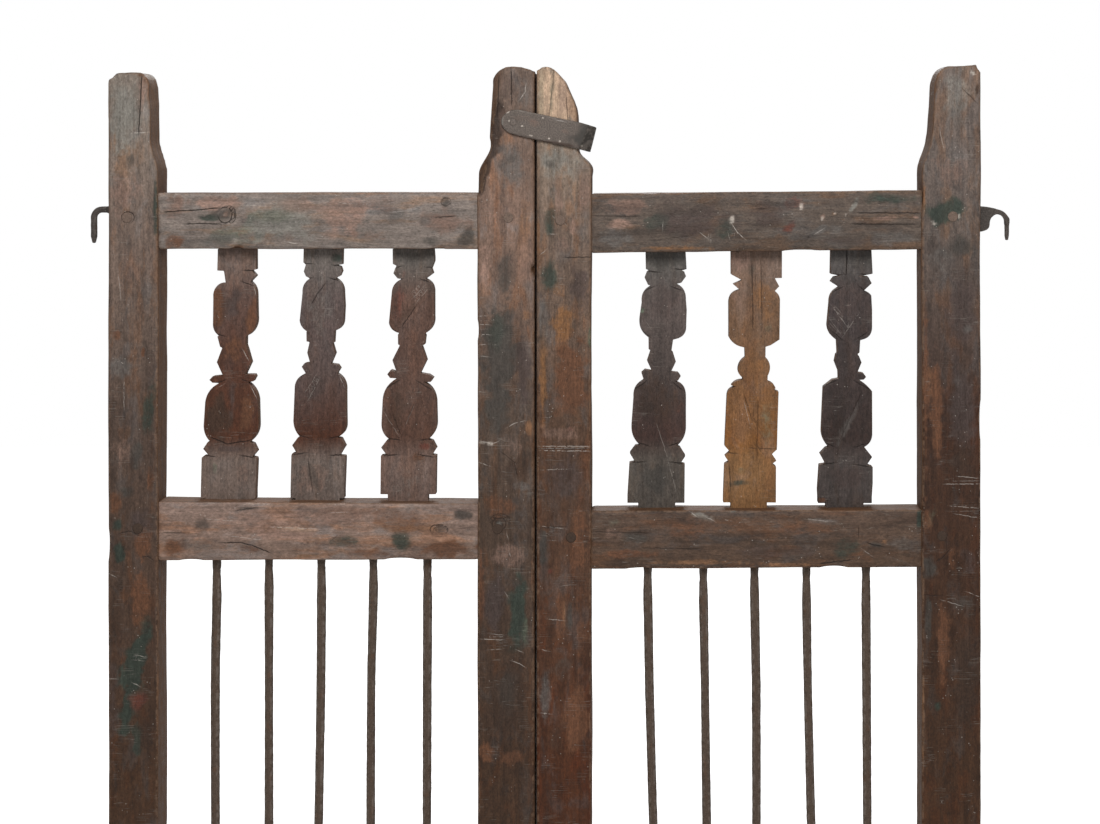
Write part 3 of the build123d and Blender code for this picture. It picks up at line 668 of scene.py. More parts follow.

# %% [markdown]
# The rails are paler and carry paint on their upper parts, and they show knots where branches grew.

# %% Spots on the rails
SPOTS_AND_PAINTED_LIGHT.update({
    "left_top_rail": """
    pink 214 203 40 9 .7; blush 176 208 12 12 .6; moss 208 218 13 4 .85 2; slate 225 215 9 8 .8;
    pink 225.5 214.5 3.2 4 .9; rust 172 240 10 8 .7; lichen 233 233 26 10 .5; steel 218 240 20 7 .6;
    mist 282 222 40 20 .8; lichen 270 216 26 7 .4; pink 300 205 20 8 .5; pink 345 215 30 20 .7;
    rust 238 247 6 2 .8; rust 375 235 18 8 .35; steel 396 216 12 10 .6; blush 380 205 26 10 .4;
    blush 445 222 26 12 .7; slate 467 238 11 10 .8; slate 446 202 4 5 .7; steel 425 221 5 4 .7;
    slate 430 240 16 6 .5; chip 235 240 3 2 .4; orange 300 192.5 90 1.2 .7""",
    "right_top_rail": """
    blush 628 206 26 9 .8; pink 621 223 15 5 .8; steel 614 239 16 9 .8; orange 650 193 50 1.4 .7;
    plum 690 222 44 20 .7; moss 655 222 14 10 .5; gold 678 248 44 3 .6; chip 732 220 2.2 3.4 .8;
    moss 724 232 10 10 .6; plum 770 215 22 18 .6; red 795 203 10 8 .5; chip 801 207 2.5 4 .6 10;
    red 787 229 8 5 .6 -20; steel 818 231 12 4 .8 -24; pink 823 216 3 4 .7 20; chip 822 219 1.5 2.8 .7 25;
    orange 834 214 4 2 .6; chip 835 213 2.2 1.1 .6 20; chip 845 215 1.3 2.4 .6 -20; orange 842 220 3 2 .5;
    mist 855 204 3 11 .7 28; steel 836 229 10 6 .6; moss 890 199 32 6 .7; blush 884 218 12 3 .9;
    pink 884 218 6 2 .7; pink 916 217 4 2 .9; steel 890 238 30 8 .7; plum 850 242 30 6 .5""",
    # The long thin pale chip line along this rail's top edge is a painted highlight on that edge.
    "left_middle_rail": """
    pink 262 520 70 14 .45; rust 175 547 13 9 .85; slate 202 526 12 8 .6; steel 200 546 20 8 .6;
    pink 290 533 36 9 .8 4; bare 296 529 20 3 .35 4; rust 250 549 12 4 .6 8; slate 246 508 10 2 .6;
    orange 310 556 26 2 .8; blush 340 515 30 9 .7; moss 345 541 20 7 .65; orange 394 526 26 7 .5;
    rust 400 520 40 12 .5; moss 401 543 11 9 .9; rust 443 548 32 9 .9; orange 430 528 18 5 .4;
    slate 462 515 13 6 .8; slate 440 530 6 4 .6; rust 370 553 30 5 .6; chip 330 503 130 1 .35""",
    # The long thin pale chip line along this rail's top edge is a painted highlight on that edge.
    "right_middle_rail": """
    lichen 613 522 9 5 .35; mist 702 516 13 4 .7 18; mist 733 511 6 2 .7; slate 636 538 16 6 .7;
    rust 626 554 28 5 .9; umber 614 563 22 4 .85; orange 698 562 42 3 .8; blush 612 534 8 8 .5;
    rust 690 528 40 12 .45; steel 821 521 15 3 .75 3; rust 800 529 40 8 .45; moss 845 549 18 10 .6;
    slate 876 545 9 4 .7 12; orange 884.5 542 3 2.4 .9; moss 919 518 3 11 .95; orange 785 565 32 2 .8;
    plum 770 552 50 8 .5; steel 905 545 16 10 .5; umber 660 512 14 4 .5; chip 690 509.5 70 .9 .3""",
})
print("spots with the rails:", sum(len(entries(notes)) for notes in SPOTS_AND_PAINTED_LIGHT.values()))

# %% [markdown]
# The balusters kept some red and gold in their vases, and they are darker low down.

# %% Spots on the balusters
SPOTS_AND_PAINTED_LIGHT.update({
    "left_baluster_1": """
    rust 217 306 7 22 .9; rust 251 318 6 20 .8; plum 234 300 8 20 .7 14; rust 232 350 14 18 .6;
    umber 218 418 14 24 .85; rust 247 412 8 26 .85; plum 232 395 4 20 .6; plum 230 449 20 5 .6;
    lichen 215 468 3 8 .5; blush 244 476 10 16 .5; blush 236 260 16 10 .4""",
    "left_baluster_2": """
    steel 320 305 20 30 .5; moss 337 258 6 5 .7; plum 316 388 10 13 .7 20; umber 320 446 14 5 .4;
    blush 312 478 18 16 .55; slate 312 474 4 20 .6 -16""",
    "left_baluster_3": """
    slate 412 257 18 9 .6; red 399 298 6 22 .5 8; blush 416 306 12 24 .35; umber 408 312 4 18 .5 40;
    red 425 446 6 5 .8; rust 418 458 8 5 .7; umber 396 410 12 24 .5; steel 403 484 22 12 .4""",
    "right_baluster_1": """
    slate 662 260 20 10 .6; lichen 642 311 2.5 4 .8; plum 664 300 16 20 .5; black 645 408 8 26 .45;
    red 682 412 6 12 .25; slate 655 480 18 16 .8; umber 660 400 22 30 .5""",
    "right_baluster_2": """
    blush 740 262 16 12 .7; moss 752 271 4 8 .5; blush 742 300 12 24 .4; lichen 769 330 5 5 .5;
    gold 762 300 14 24 .5; gold 755 362 10 16 .6; gold 744 415 20 34 .8; orange 742 420 6 30 .5;
    lichen 768 420 6 30 .4; moss 738 483 10 4 .7; gold 768 486 8 16 .7; lichen 742 470 6 5 .4""",
    "right_baluster_3": """
    plum 850 300 22 26 .6; black 840 416 10 30 .4; slate 860 260 16 10 .5; steel 850 420 4 30 .5 28;
    plum 848 478 22 16 .7; rust 822 500 4 3 .8""",
})
print("all spots:", sum(len(entries(notes)) for notes in SPOTS_AND_PAINTED_LIGHT.values()))

# %% [markdown]
# A line is its strength and the places that it passes. A ring around a knot is its strength, its
# centre, its half width and half height, and the angles at which it starts and ends. Cracks follow
# the grain or a saw's nick, and scratches lie anywhere.

# %% Cracks and scratches
CRACKS = {
    "left_outer_stile": """
    1 141.6,76 140.6,100 138.4,135; .75 ring 128,217.6 6.2,6 160,420; .4 ring 128,218 3.4,3.2 40,260;
    .6 118,534 130,531 139,536; .6 140,558 147,556 153,560""",
    "left_meeting_stile": """
    .9 511.3,69 511.8,106; .7 499,75 497,118; .7 ring 499,524 7,6 150,470; .5 ring 500,525 12,11 200,330;
    .5 501,452 514,462 518,478""",
    "right_meeting_stile": """
    .45 554,68 552,92 548,121; .6 566,96 568,122; .8 563,257.6 592,257.2; .5 538,449 590,448.6;
    .6 541,528 566,527""",
    "right_outer_stile": ".5 962,88 978,104; .6 936,562 944,556 952,548; .5 922,595 942,596",
    "left_top_rail": """
    1 163,212 190,210.5 219,208; .9 185,224 205,223.5 219,224.5; .9 ring 225,215 7,8 -140,160;
    .7 ring 226,215 10,10 -70,60; .8 434,217.5 456,216; .5 ring 446,202 5,4 0,360""",
    "right_top_rail": """
    .8 857,213 921,213; .8 852,224 916,224.5; .5 592,216 640,216.5; .6 755,209 768,209; .4 650,241 690,236""",
    "left_middle_rail": """
    1 221,543 240,542.5 254,546 271,553; .7 234,511 246,509 260,508; .6 163,533 190,533;
    .8 ring 439,530 9,5.5 150,400; .5 ring 440,530 5,3 120,360; .5 331,541 338,535""",
    "right_middle_rail": """
    .9 866,542 874,545 884,547; .9 820,564 838,561.5 852,560; .5 592,532 650,533; .6 858.6,526 858.4,538;
    .5 640,548 700,549""",
    "left_baluster_1": """
    .9 243,270.4 256,270.6; .9 242,281.6 254,286; .8 216,334 225,336; .8 214,384 225,380;
    .7 241,379 249,382; .9 210,437 228,444 252,440; .9 205,455.6 216,457; .9 240,455.6 256,458""",
    "left_baluster_2": """
    .9 303,263 313,264; .9 332,265.3 342,265.3; .8 303,280 312,277.6; .9 329,278 340,281;
    .7 326,283 318,293 311,305; .8 294,380 306,372.6; .7 298,435 311,438.8; .8 328,438.8 340,436;
    .9 292,454.6 306,453; .9 329,455.6 344,454.8; .6 308,460 313,494""",
    "left_baluster_3": """
    .8 395,267.6 403,266; .8 425,267 434,268; .9 396,280 403,278.8; .9 420,278.8 430,282.6;
    .7 416,306 408,318 401,328; .7 390,328 398,333; .8 382,391 400,380; .7 417,381 433,391;
    .5 415,403 406,424; .5 392,412 401,436; .8 386,437.6 401,440.4; .8 419,440.4 430,438.8;
    .9 382,456 398,454.6; .9 419,455 434,457""",
    "right_baluster_1": """
    .9 647,270.8 660,272.6; .9 674,269 685,269.4; .8 643,291 655,286.4; .8 671,286.4 683,291;
    .7 642,331 651,338; .8 635,389 647,381; .8 672,382 684,391; .9 636,442 650,446.4; .9 668,446.4 681,442;
    .9 629,462.6 645,462; .9 668,462 684,463.4""",
    "right_baluster_2": """
    .6 752,262 753,330; .5 761,258 762,322; .5 744,395 752,420; .5 758,400 757,460; .6 729,464 731,492;
    .5 748,448 775,449; .6 724,452 738,454""",
    "right_baluster_3": """
    1 846.8,251 846.6,276; .9 831,274.4 843,275; .9 860,274 871,275.4; .8 830,293 843,287;
    .8 859,286 870,295; .8 830,329 843,340.6; .7 857,339.4 868,332; .8 824,386 838,379.6;
    .8 855,381 870,390; .8 824,442 835,447.6; .8 854,447.6 867,443.6; .9 820,464.6 835,463;
    .9 855,464.6 870,466.6; .4 862,392 840,440""",
}
SCRATCHES = {
    "left_outer_stile": """
    1 132.8,133.3 147.7,132.3; .8 136,655 145,657; .7 134,660 144,661; .9 133,683 139,686;
    .6 101,679 118,679; .8 110,574 116,577; .5 118,270 121,300; .5 124,380 124,410""",
    "left_meeting_stile": """
    .9 526,84 525,92 520,99; .7 478,316 486,316; .7 479,324 489,325; .7 479,334 490,335; .6 479,345 488,344;
    .6 480,356 489,357; .7 477,392 484,392; .7 508,427 515,423 524,421; .8 478,440 492,444 499,441;
    .6 478,462 490,466; .8 481,639 504,640; .6 492,634 503,635; .5 488,650 502,649; .8 517,650 522,652;
    .8 512,661 520,664 525,667; .7 507,534 508,538; .8 509,552 511,557; .6 505,593 508,597""",
    "right_meeting_stile": """
    .8 539,446.3 590,446.4; .8 541,450.6 590,451; .6 542,470 570,469; .8 553,216.5 555,219;
    .8 573.5,215 575.5,217; .8 564,223 566,225; .7 549,234 556,234; .6 540,255 546,250;
    .7 548,619 563,620.5; .6 540,649 548,651; .7 541,713 551,714; .6 541,526 565,529; .5 562,586 568,585""",
    "right_outer_stile": """
    .7 945,484 979,484; .6 955,476 979,478; .7 967,592 980,597; .6 942,600 962,606; .5 940,130 944,150;
    .6 950,506 978,508; .5 955,514 980,518""",
    "left_top_rail": ".9 286,242 298,243.6; .6 340,203 352,204; .5 390,212 408,211; .5 246,205 262,206",
    "right_top_rail": """
    .9 732,224 737,232 745,239; .6 663,222 662.4,230; .7 699,232 708,239; .6 711,236 711,242;
    .6 728,233 730,239; .8 815,234 823,229""",
    "left_middle_rail": ".5 205,519 235,521; .6 270,527 318,529; .5 330,513 350,512; .5 230,536 262,540",
    "right_middle_rail": """
    .8 690,512 698,517; .7 706,517 714,521; .6 722,519 731,521; .6 806,519 834,522; .5 862,549 872,556;
    .8 631,538 633,538.4""",
    "left_baluster_1": """
    .9 253.5,287 256.5,296; .9 251,387 256.5,398; .8 243,350 248.5,360; .5 219,387 224,384""",
    "left_baluster_2": ".3 317,374 304,394; .3 320,378 308,400; .7 340,377 344,386",
    "left_baluster_3": """
    .35 425,285 413,298; .35 428,289 416,303; .3 421,283 412,292; .3 415,404 405,426; .25 384,412 399,436""",
    "right_baluster_1": ".28 656.6,424 664,446 676,490; .25 646,322 652,330; .6 682,381 685.5,388",
    "right_baluster_2": ".4 744,402 750,424",
    "right_baluster_3": """
    .4 831,305 846,325; .3 829,318 840,333; .25 828,325 836,335; .35 860,312 843,336; .25 835,306 842,314""",
}
wooden = [node for node in pieces if slot_of[node].endswith("wood")]
for number, node in enumerate(wooden):
    paint(pieces[node], SPOTS_AND_PAINTED_LIGHT.get(node, ""), number + 31)
    draw(pieces[node], CRACKS.get(node, ""), SCRATCHES.get(node, ""))
    within_box(pieces[node])
print("painted timbers:", len(wooden))

# %% [markdown]
# ## Finishes
# A material is a small machine of nodes. A few helpers keep the writing short: one adds a node and
# wires its inputs, the others are the sums, fades and mixes that are used all over.

# %% Helpers for nodes
def wire(tree, node, inputs):
    """Sets or links inputs, by name or by number: From_Min is "From Min" and _6 is number 6."""
    for key, value in inputs.items():
        socket = node.inputs[int(key[1:]) if key[1:].isdigit() else key.replace("_", " ")]
        if isinstance(value, bpy.types.NodeSocket):
            tree.links.new(value, socket)
        else:
            socket.default_value = value
    return node


def add(tree, kind, props=None, **inputs):
    node = tree.nodes.new("ShaderNode" + kind)
    for key, value in (props or {}).items():
        setattr(node, key, value)
    return wire(tree, node, inputs)


def use(tree, made, **inputs):
    return wire(tree, add(tree, "Group", {"node_tree": made}), inputs).outputs


def calc(tree, operation, a, b=0.0):
    return add(tree, "Math", {"operation": operation}, _0=a, _1=b).outputs[0]


def times(tree, a, b):
    return calc(tree, "MULTIPLY", a, b)


def fade(tree, value, low, high, start=0.0, end=1.0, how="SMOOTHSTEP"):
    """Runs from start to end while the value runs from low to high."""
    return add(tree, "MapRange", {"interpolation_type": how}, Value=value,
               From_Min=low, From_Max=high, To_Min=start, To_Max=end).outputs[0]


def blend(tree, factor, a, b, how="MIX"):
    return add(tree, "Mix", {"data_type": "RGBA", "blend_type": how}, _0=factor, _6=a, _7=b).outputs[2]


def lay(tree, colour, mask, amount, over, how="MIX"):
    """Lays another colour over a colour where the mask shows it, by an amount at most."""
    return blend(tree, times(tree, mask, amount), colour, over, how)


def stretched(tree, vector, size, shift=0.0):
    return add(tree, "Mapping", Vector=vector, Scale=size,
               Location=(shift, shift * 0.7, shift * 1.3)).outputs[0]


def noise(tree, vector, size, detail, rough, twist=0.0, shift=0.0):
    """Noise with so many waves a metre along X, Y and Z."""
    return add(tree, "TexNoise", Vector=stretched(tree, vector, size, shift), Scale=1.0,
               Detail=detail, Roughness=rough, Distortion=twist).outputs[0]


def group(name, ins, outs):
    """An empty node group with named sockets, what comes in, and its end node."""
    tree = bpy.data.node_groups.new(name, "ShaderNodeTree")
    for label, kind, value in ins:
        socket = tree.interface.new_socket(label, in_out="INPUT", socket_type="NodeSocket" + kind)
        if value is not None:
            socket.default_value = value
    for label in outs:
        kind = "NodeSocketColor" if label == "Paint" else "NodeSocketFloat"
        tree.interface.new_socket(label, in_out="OUTPUT", socket_type=kind)
    return tree, tree.nodes.new("NodeGroupInput").outputs, tree.nodes.new("NodeGroupOutput")


def new_finish(name):
    """An empty material, and the tree that its nodes go into."""
    made = bpy.data.materials.new(name)
    made.use_nodes = True
    made.node_tree.nodes.clear()
    return made, made.node_tree


def surface(tree, colour, height, strength, distance, **looks):
    """Ends a material: its relief, its shader and its output."""
    relief = add(tree, "Bump", Height=height, Strength=strength, Distance=distance)
    shade = add(tree, "BsdfPrincipled", Base_Color=colour, Normal=relief.outputs[0], **looks)
    add(tree, "OutputMaterial", Surface=shade.outputs[0])


def rgb(r, g, b):
    return (r, g, b, 1.0)


WHITE = rgb(1, 1, 1)
print("helpers are ready, and white is", WHITE)

# %% [markdown]
# **Grain.** Old teak shows fine streaks along the tree and short dark pores. Both are noise drawn
# out along the grain. The vector that comes in is already turned so that the grain runs along Z.
# Fine cuts are left by saws and passing carts: thin pale lines, level on this gate.

# %% The grain group
grain, g_in, g_out = group("grain", [("Vector", "Vector", None), ("Place", "Vector", None)],
                           ["Streaks", "Bands", "Pores", "Cuts"])
v, here = g_in["Vector"], g_in["Place"]
streaks = noise(grain, v, (300, 300, 12), 6, 0.65, 0.15)
bands = noise(grain, v, (60, 60, 3.5), 4, 0.55, 0.6, shift=3.1)
pores = fade(grain, noise(grain, v, (900, 900, 110), 2, 0.5, shift=1.7), 0.60, 0.70)
cut_wave = noise(grain, here, (11, 11, 330), 1.5, 0.5, 0.1, shift=9.3)
cut_gap = calc(grain, "ABSOLUTE", calc(grain, "SUBTRACT", cut_wave, 0.5))
cut_here = fade(grain, noise(grain, here, (24, 24, 30), 3, 0.6, shift=5.0), 0.53, 0.62)
cuts = times(grain, fade(grain, cut_gap, 0.020, 0.006), cut_here)
wire(grain, g_out, {"Streaks": streaks, "Bands": bands, "Pores": pores, "Cuts": cuts})
print("grain group:", len(grain.nodes), "nodes")

# %% [markdown]
# **Drawn lines.** The cracks and scratches that were painted as distances become thin dark and
# pale lines here. A little noise on the distance makes them tremble as real ones do.

# %% The drawn line group
CRACK_HALF, SCRATCH_HALF = 1.0, 0.7
TREMBLE = 4.0

drawn, d_in, d_out = group("drawn_lines", [("Vector", "Vector", None)], ["Cracks", "Scratches"])
v = d_in["Vector"]
kept = add(drawn, "Attribute", {"attribute_name": "lines"}).outputs
parts = add(drawn, "SeparateColor", Color=kept["Color"]).outputs
tremble = noise(drawn, v, (110, 110, 110), 4, 0.65)
shake = times(drawn, calc(drawn, "SUBTRACT", tremble, 0.5), TREMBLE)
broken = fade(drawn, noise(drawn, v, (150, 150, 150), 3, 0.6, shift=3.0), 0.36, 0.50)


def drawn_line(distance, show, half):
    """A line that is half as wide as said, in millimetres, on each side of distance 0."""
    off = calc(drawn, "ABSOLUTE", calc(drawn, "ADD", distance, shake))
    return times(drawn, fade(drawn, off, half * 1.4, half * 0.3), show)


crack = drawn_line(parts[0], parts[1], CRACK_HALF)
scratch = drawn_line(parts[2], kept["Alpha"], SCRATCH_HALF)
wire(drawn, d_out, {"Cracks": crack, "Scratches": times(drawn, scratch, broken)})
print("line group:", len(drawn.nodes), "nodes")

# %% [markdown]
# **Patina.** A hundred years of hands, rain and paint leave no even colour. Three slow noises pick
# where the wood turns cool, warm or dark, and a fine one with much detail gives the speckle that
# every worn surface has. The painted spots are torn up by noise, so that their edges follow the
# wear and not the brush.

# %% The patina group
PATINA = ["Cool", "Warm", "Dark", "Speckle", "Paint", "Cover", "Specks", "Wear"]


def torn_cover(tree, alpha, noisy, reach):
    """How much paint is left, when noise tears at the soft edge of a spot."""
    level = calc(tree, "ADD", alpha, times(tree, calc(tree, "SUBTRACT", noisy, 0.5), reach))
    return times(tree, fade(tree, level, 0.15, 0.85), fade(tree, alpha, 0.0, 0.3))


patina, p_in, p_out = group("patina", [("Vector", "Vector", None), ("Streaks", "Float", 0.5)], PATINA)
v = p_in["Vector"]
kept = add(patina, "Attribute", {"attribute_name": "paint"}).outputs
cool = fade(patina, noise(patina, v, (30, 30, 12), 6, 0.62, 0.6, shift=4.4), 0.50, 0.66)
warm = fade(patina, noise(patina, v, (34, 34, 9), 6, 0.62, 0.4, shift=7.7), 0.50, 0.64)
dark = fade(patina, noise(patina, v, (46, 46, 17), 7, 0.66, 0.5, shift=12.1), 0.48, 0.66)
speckle = noise(patina, v, (330, 330, 200), 6, 0.72, shift=1.9)
wear = noise(patina, v, (120, 120, 60), 6, 0.68, shift=6.1)
torn = calc(patina, "ADD", times(patina, wear, 0.7), times(patina, p_in["Streaks"], 0.3))
cover = torn_cover(patina, kept["Alpha"], torn, 1.5)
cells = add(patina, "TexVoronoi", Vector=stretched(patina, v, (170, 170, 150), 2.0), Scale=1.0).outputs
rare = fade(patina, noise(patina, v, (60, 60, 40), 3, 0.6, shift=8.0), 0.58, 0.64)
specks = times(patina, fade(patina, cells["Distance"], 0.20, 0.08), rare)
found = (cool, warm, dark, speckle, kept["Color"], cover, specks, wear)
wire(patina, p_out, dict(zip(PATINA, found)))
print("patina group:", len(patina.nodes), "nodes")

# %% [markdown]
# ** Worn corners and shaded sides.** Where hands and wind have rubbed a corner, the surface faces neither straight
# forward nor straight sideways. The largest part of its direction is then well under one. The same group also
# marks faces that turn sideways, up or down, where the wood is given a dark warm colour as painted shade.

# %% The worn corner and painted side shade group
corner, c_in, c_out = group("worn_corners_and_shaded_sides", [("Vector", "Vector", None)], ["Worn", "Side"])
facing = add(corner, "TexCoord").outputs["Normal"]
sizes = [calc(corner, "ABSOLUTE", part) for part in add(corner, "SeparateXYZ", Vector=facing).outputs]
largest = calc(corner, "MAXIMUM", calc(corner, "MAXIMUM", sizes[0], sizes[1]), sizes[2])
ragged = noise(corner, c_in["Vector"], (90, 90, 90), 5, 0.65)
rubbed = times(corner, fade(corner, largest, 0.97, 0.84), fade(corner, ragged, 0.42, 0.60))
# Faces that turn to the sides, up or down are marked here for painted shade.
shaded_sides = fade(corner, calc(corner, "MAXIMUM", sizes[0], sizes[2]), 0.72, 0.95)
wire(corner, c_out, {"Worn": rubbed, "Side": shaded_sides})
print("worn corner group:", len(corner.nodes), "nodes")

# %% [markdown]
# ## The wood
# One function mixes a wood for a given timber: the direction of its grain, a shift so that no two
# timbers share a pattern, and its own tones from the bottom of the gate to the top. These tones are darker
# and warmer low down and paler and greyer high up: partly the wood's own colour, and partly painted
# light, a painted fall-off of the light from above and a painted grey sheen near the top.

# %% Mixing a wood
RAMP_FOOT, RAMP_SPAN = -1.6, 1.9
BLEACHED, WARMER, DARKER = (0.58, 1.06), rgb(1.30, 0.98, 0.72), rgb(0.60, 0.60, 0.62)
# The first colour is painted shade for the sides, and the second is wear on rubbed corners.
PAINTED_SIDE_SHADE, WORN_WOOD, PORE = rgb(0.122, 0.058, 0.027), rgb(0.25, 0.155, 0.10), rgb(0.020, 0.013, 0.009)
CUT, SPECK, SCRATCH = rgb(0.34, 0.30, 0.26), rgb(0.46, 0.41, 0.36), rgb(0.50, 0.45, 0.40)
CRACK = rgb(0.012, 0.008, 0.006)


def tones_and_light_by_height(tree, place, tones):
    """A colour for each height: tones are (height in metres, colour), from the bottom up."""
    up = add(tree, "SeparateXYZ", Vector=place).outputs[2]
    ramp = add(tree, "ValToRGB", Fac=fade(tree, up, RAMP_FOOT, RAMP_FOOT + RAMP_SPAN, how="LINEAR"))
    stops = ramp.color_ramp.elements
    while len(stops) < len(tones):
        stops.new(0.5)
    for stop, (z, tone) in zip(stops, tones):
        stop.position = (z - RAMP_FOOT) / RAMP_SPAN
        stop.color = rgb(*tone)
    return ramp.outputs[0]


def wood(name, upright, shift, tones, mottle):
    made, tree = new_finish(name)
    place = add(tree, "TexCoord").outputs["Object"]
    turn = 0.0 if upright else math.radians(90.0)
    vector = add(tree, "Mapping", Vector=place, Location=(shift * 0.37, shift * 0.21, shift),
                 Rotation=(0.0, turn, 0.0)).outputs[0]
    fibre = use(tree, grain, Vector=vector, Place=place)
    marks = use(tree, drawn, Vector=vector)
    worn = use(tree, corner, Vector=vector)
    old = use(tree, patina, Vector=vector, Streaks=fibre["Streaks"])

    # The colour by height holds painted light as well as the wood's tones: darker low down, and a grey sheen
    # high up.
    colour = tones_and_light_by_height(tree, place, tones)
    faded = add(tree, "HueSaturation", Saturation=BLEACHED[0], Value=BLEACHED[1], Color=colour).outputs[0]
    colour = lay(tree, colour, old["Cool"], 0.80 * mottle, faded)
    colour = lay(tree, colour, old["Warm"], 0.75 * mottle, WARMER, "MULTIPLY")
    colour = lay(tree, colour, old["Dark"], 0.75 * mottle, DARKER, "MULTIPLY")
    colour = lay(tree, colour, old["Cover"], 0.88, old["Paint"])
    # Faces that turn to the sides, up or down take a dark warm colour: painted shade.
    colour = lay(tree, colour, worn["Side"], 0.80, PAINTED_SIDE_SHADE)

    # Streaks, bands and speckle lighten and darken whatever colour lies there.
    value = fade(tree, fibre["Streaks"], 0.25, 0.75, 0.84, 1.16)
    value = times(tree, value, fade(tree, fibre["Bands"], 0.3, 0.7, 0.84, 1.14))
    value = times(tree, value, fade(tree, old["Speckle"], 0.28, 0.74, 0.72, 1.31))
    value = times(tree, value, fade(tree, old["Wear"], 0.3, 0.7, 0.82, 1.18))
    colour = blend(tree, 1.0, colour, value, "MULTIPLY")
    for mask, amount, over in (
            (worn["Worn"], 0.42, WORN_WOOD), (fibre["Pores"], 0.40, PORE),
            (fibre["Cuts"], 0.22, CUT), (old["Specks"], 0.55, SPECK),
            (marks["Scratches"], 0.72, SCRATCH), (marks["Cracks"], 0.92, CRACK)):
        colour = lay(tree, colour, mask, amount, over)

    # The relief rises with the streaks and falls at cracks, pores and cuts.
    ridge = times(tree, fibre["Streaks"], 0.35)
    for mask, amount, way in (
            (old["Speckle"], 0.55, "ADD"), (old["Wear"], 0.9, "ADD"), (marks["Cracks"], 1.8, "SUBTRACT"),
            (fibre["Pores"], 0.3, "SUBTRACT"), (fibre["Cuts"], 0.25, "SUBTRACT")):
        ridge = calc(tree, way, ridge, times(tree, mask, amount))
    surface(tree, colour, ridge, 0.6, 0.0016, Roughness=fade(tree, old["Wear"], 0.3, 0.7, 0.46, 0.68),
            Specular_IOR_Level=0.22)
    return made


print("colours that lie over the wood: side", PAINTED_SIDE_SHADE[:3], "worn", WORN_WOOD[:3])

# %% [markdown]
# Each timber's tones stand for broad areas of it, at the heights given here, from the bottom up. They
# began as the mean colours of those areas in the picture and were corrected until the render
# agreed. The bottom rails are out of the picture, so both take the same plain tones.

# %% A wood for each timber
LEVELS = {
    "stile": (-0.95, -0.35, 0.0, 0.22), "baluster": (-0.425, -0.385, -0.27, -0.14, -0.075),
    "top_rail": (-0.1, 0.05), "middle_rail": (-0.6, -0.5), "bottom_rail": (-0.95, 0.22),
}
# These tones are the wood's colours with painted light in them: darker low down where less light fell, and
# paler and greyer high up as a painted sheen.
TONES_AND_LIGHT = {
    "left_outer_stile": ".056 .027 .014; .084 .054 .04; .161 .114 .09; .209 .168 .137",
    "left_meeting_stile": ".053 .027 .015; .08 .052 .037; .188 .118 .087; .154 .105 .08",
    "right_meeting_stile": ".064 .021 .008; .088 .048 .029; .154 .106 .079; .3 .225 .165",
    "right_outer_stile": ".055 .025 .012; .046 .02 .011; .11 .083 .069; .148 .114 .097",
    "left_top_rail": ".17 .137 .116; .208 .169 .146",
    "right_top_rail": ".086 .064 .05; .104 .077 .061",
    "left_middle_rail": ".198 .13 .098; .234 .16 .128",
    "right_middle_rail": ".08 .047 .03; .094 .059 .042",
    "left_baluster_1": ".152 .11 .09; .07 .024 .011; .076 .03 .017; .106 .06 .046; .15 .106 .088",
    "left_baluster_2": ".139 .104 .087; .06 .019 .008; .09 .06 .052; .106 .076 .069; .14 .118 .104",
    "left_baluster_3": ".146 .094 .075; .084 .041 .027; .096 .054 .04; .098 .053 .038; .112 .096 .084",
    "right_baluster_1": ".075 .061 .05; .045 .023 .018; .062 .046 .04; .092 .07 .062; .086 .078 .07",
    "right_baluster_2": ".215 .107 .042; .19 .076 .018; .16 .08 .036; .152 .085 .049; .165 .108 .08",
    "right_baluster_3": ".062 .048 .043; .036 .021 .017; .046 .033 .03; .05 .037 .035; .074 .065 .06",
}
PLAIN = ".06 .036 .025; .12 .085 .066"
SHIFT_STEP, FIRST_SHIFT = 3.7, 1.3
QUIET, LIVELY = 0.35, 0.9

for number, node in enumerate(wooden):
    levels = next(levels for kind, levels in LEVELS.items() if kind in node)
    read = [tuple(map(float, words)) for words in entries(TONES_AND_LIGHT.get(node, PLAIN))]
    mottle = QUIET if "baluster" in node else LIVELY
    shift = SHIFT_STEP * number + FIRST_SHIFT
    made = wood("wood_of_" + node, "rail" not in node, shift, list(zip(levels, read)), mottle)
    pieces[node].data.materials.append(made)
print("woods:", len(wooden))

# %% [markdown]
# ## The iron finish
# Forged iron keeps a dark skin, with rust where the skin has gone and a little bare metal where it
# rubs. It is a fifth metal at most, because rust and old oil are not metal.

# %% Mixing the irons
RUST, IRON_SPECK = rgb(0.105, 0.055, 0.032), rgb(0.36, 0.33, 0.30)
IRON_WORN, IRON_SCRATCH = rgb(0.26, 0.22, 0.19), rgb(0.55, 0.52, 0.48)


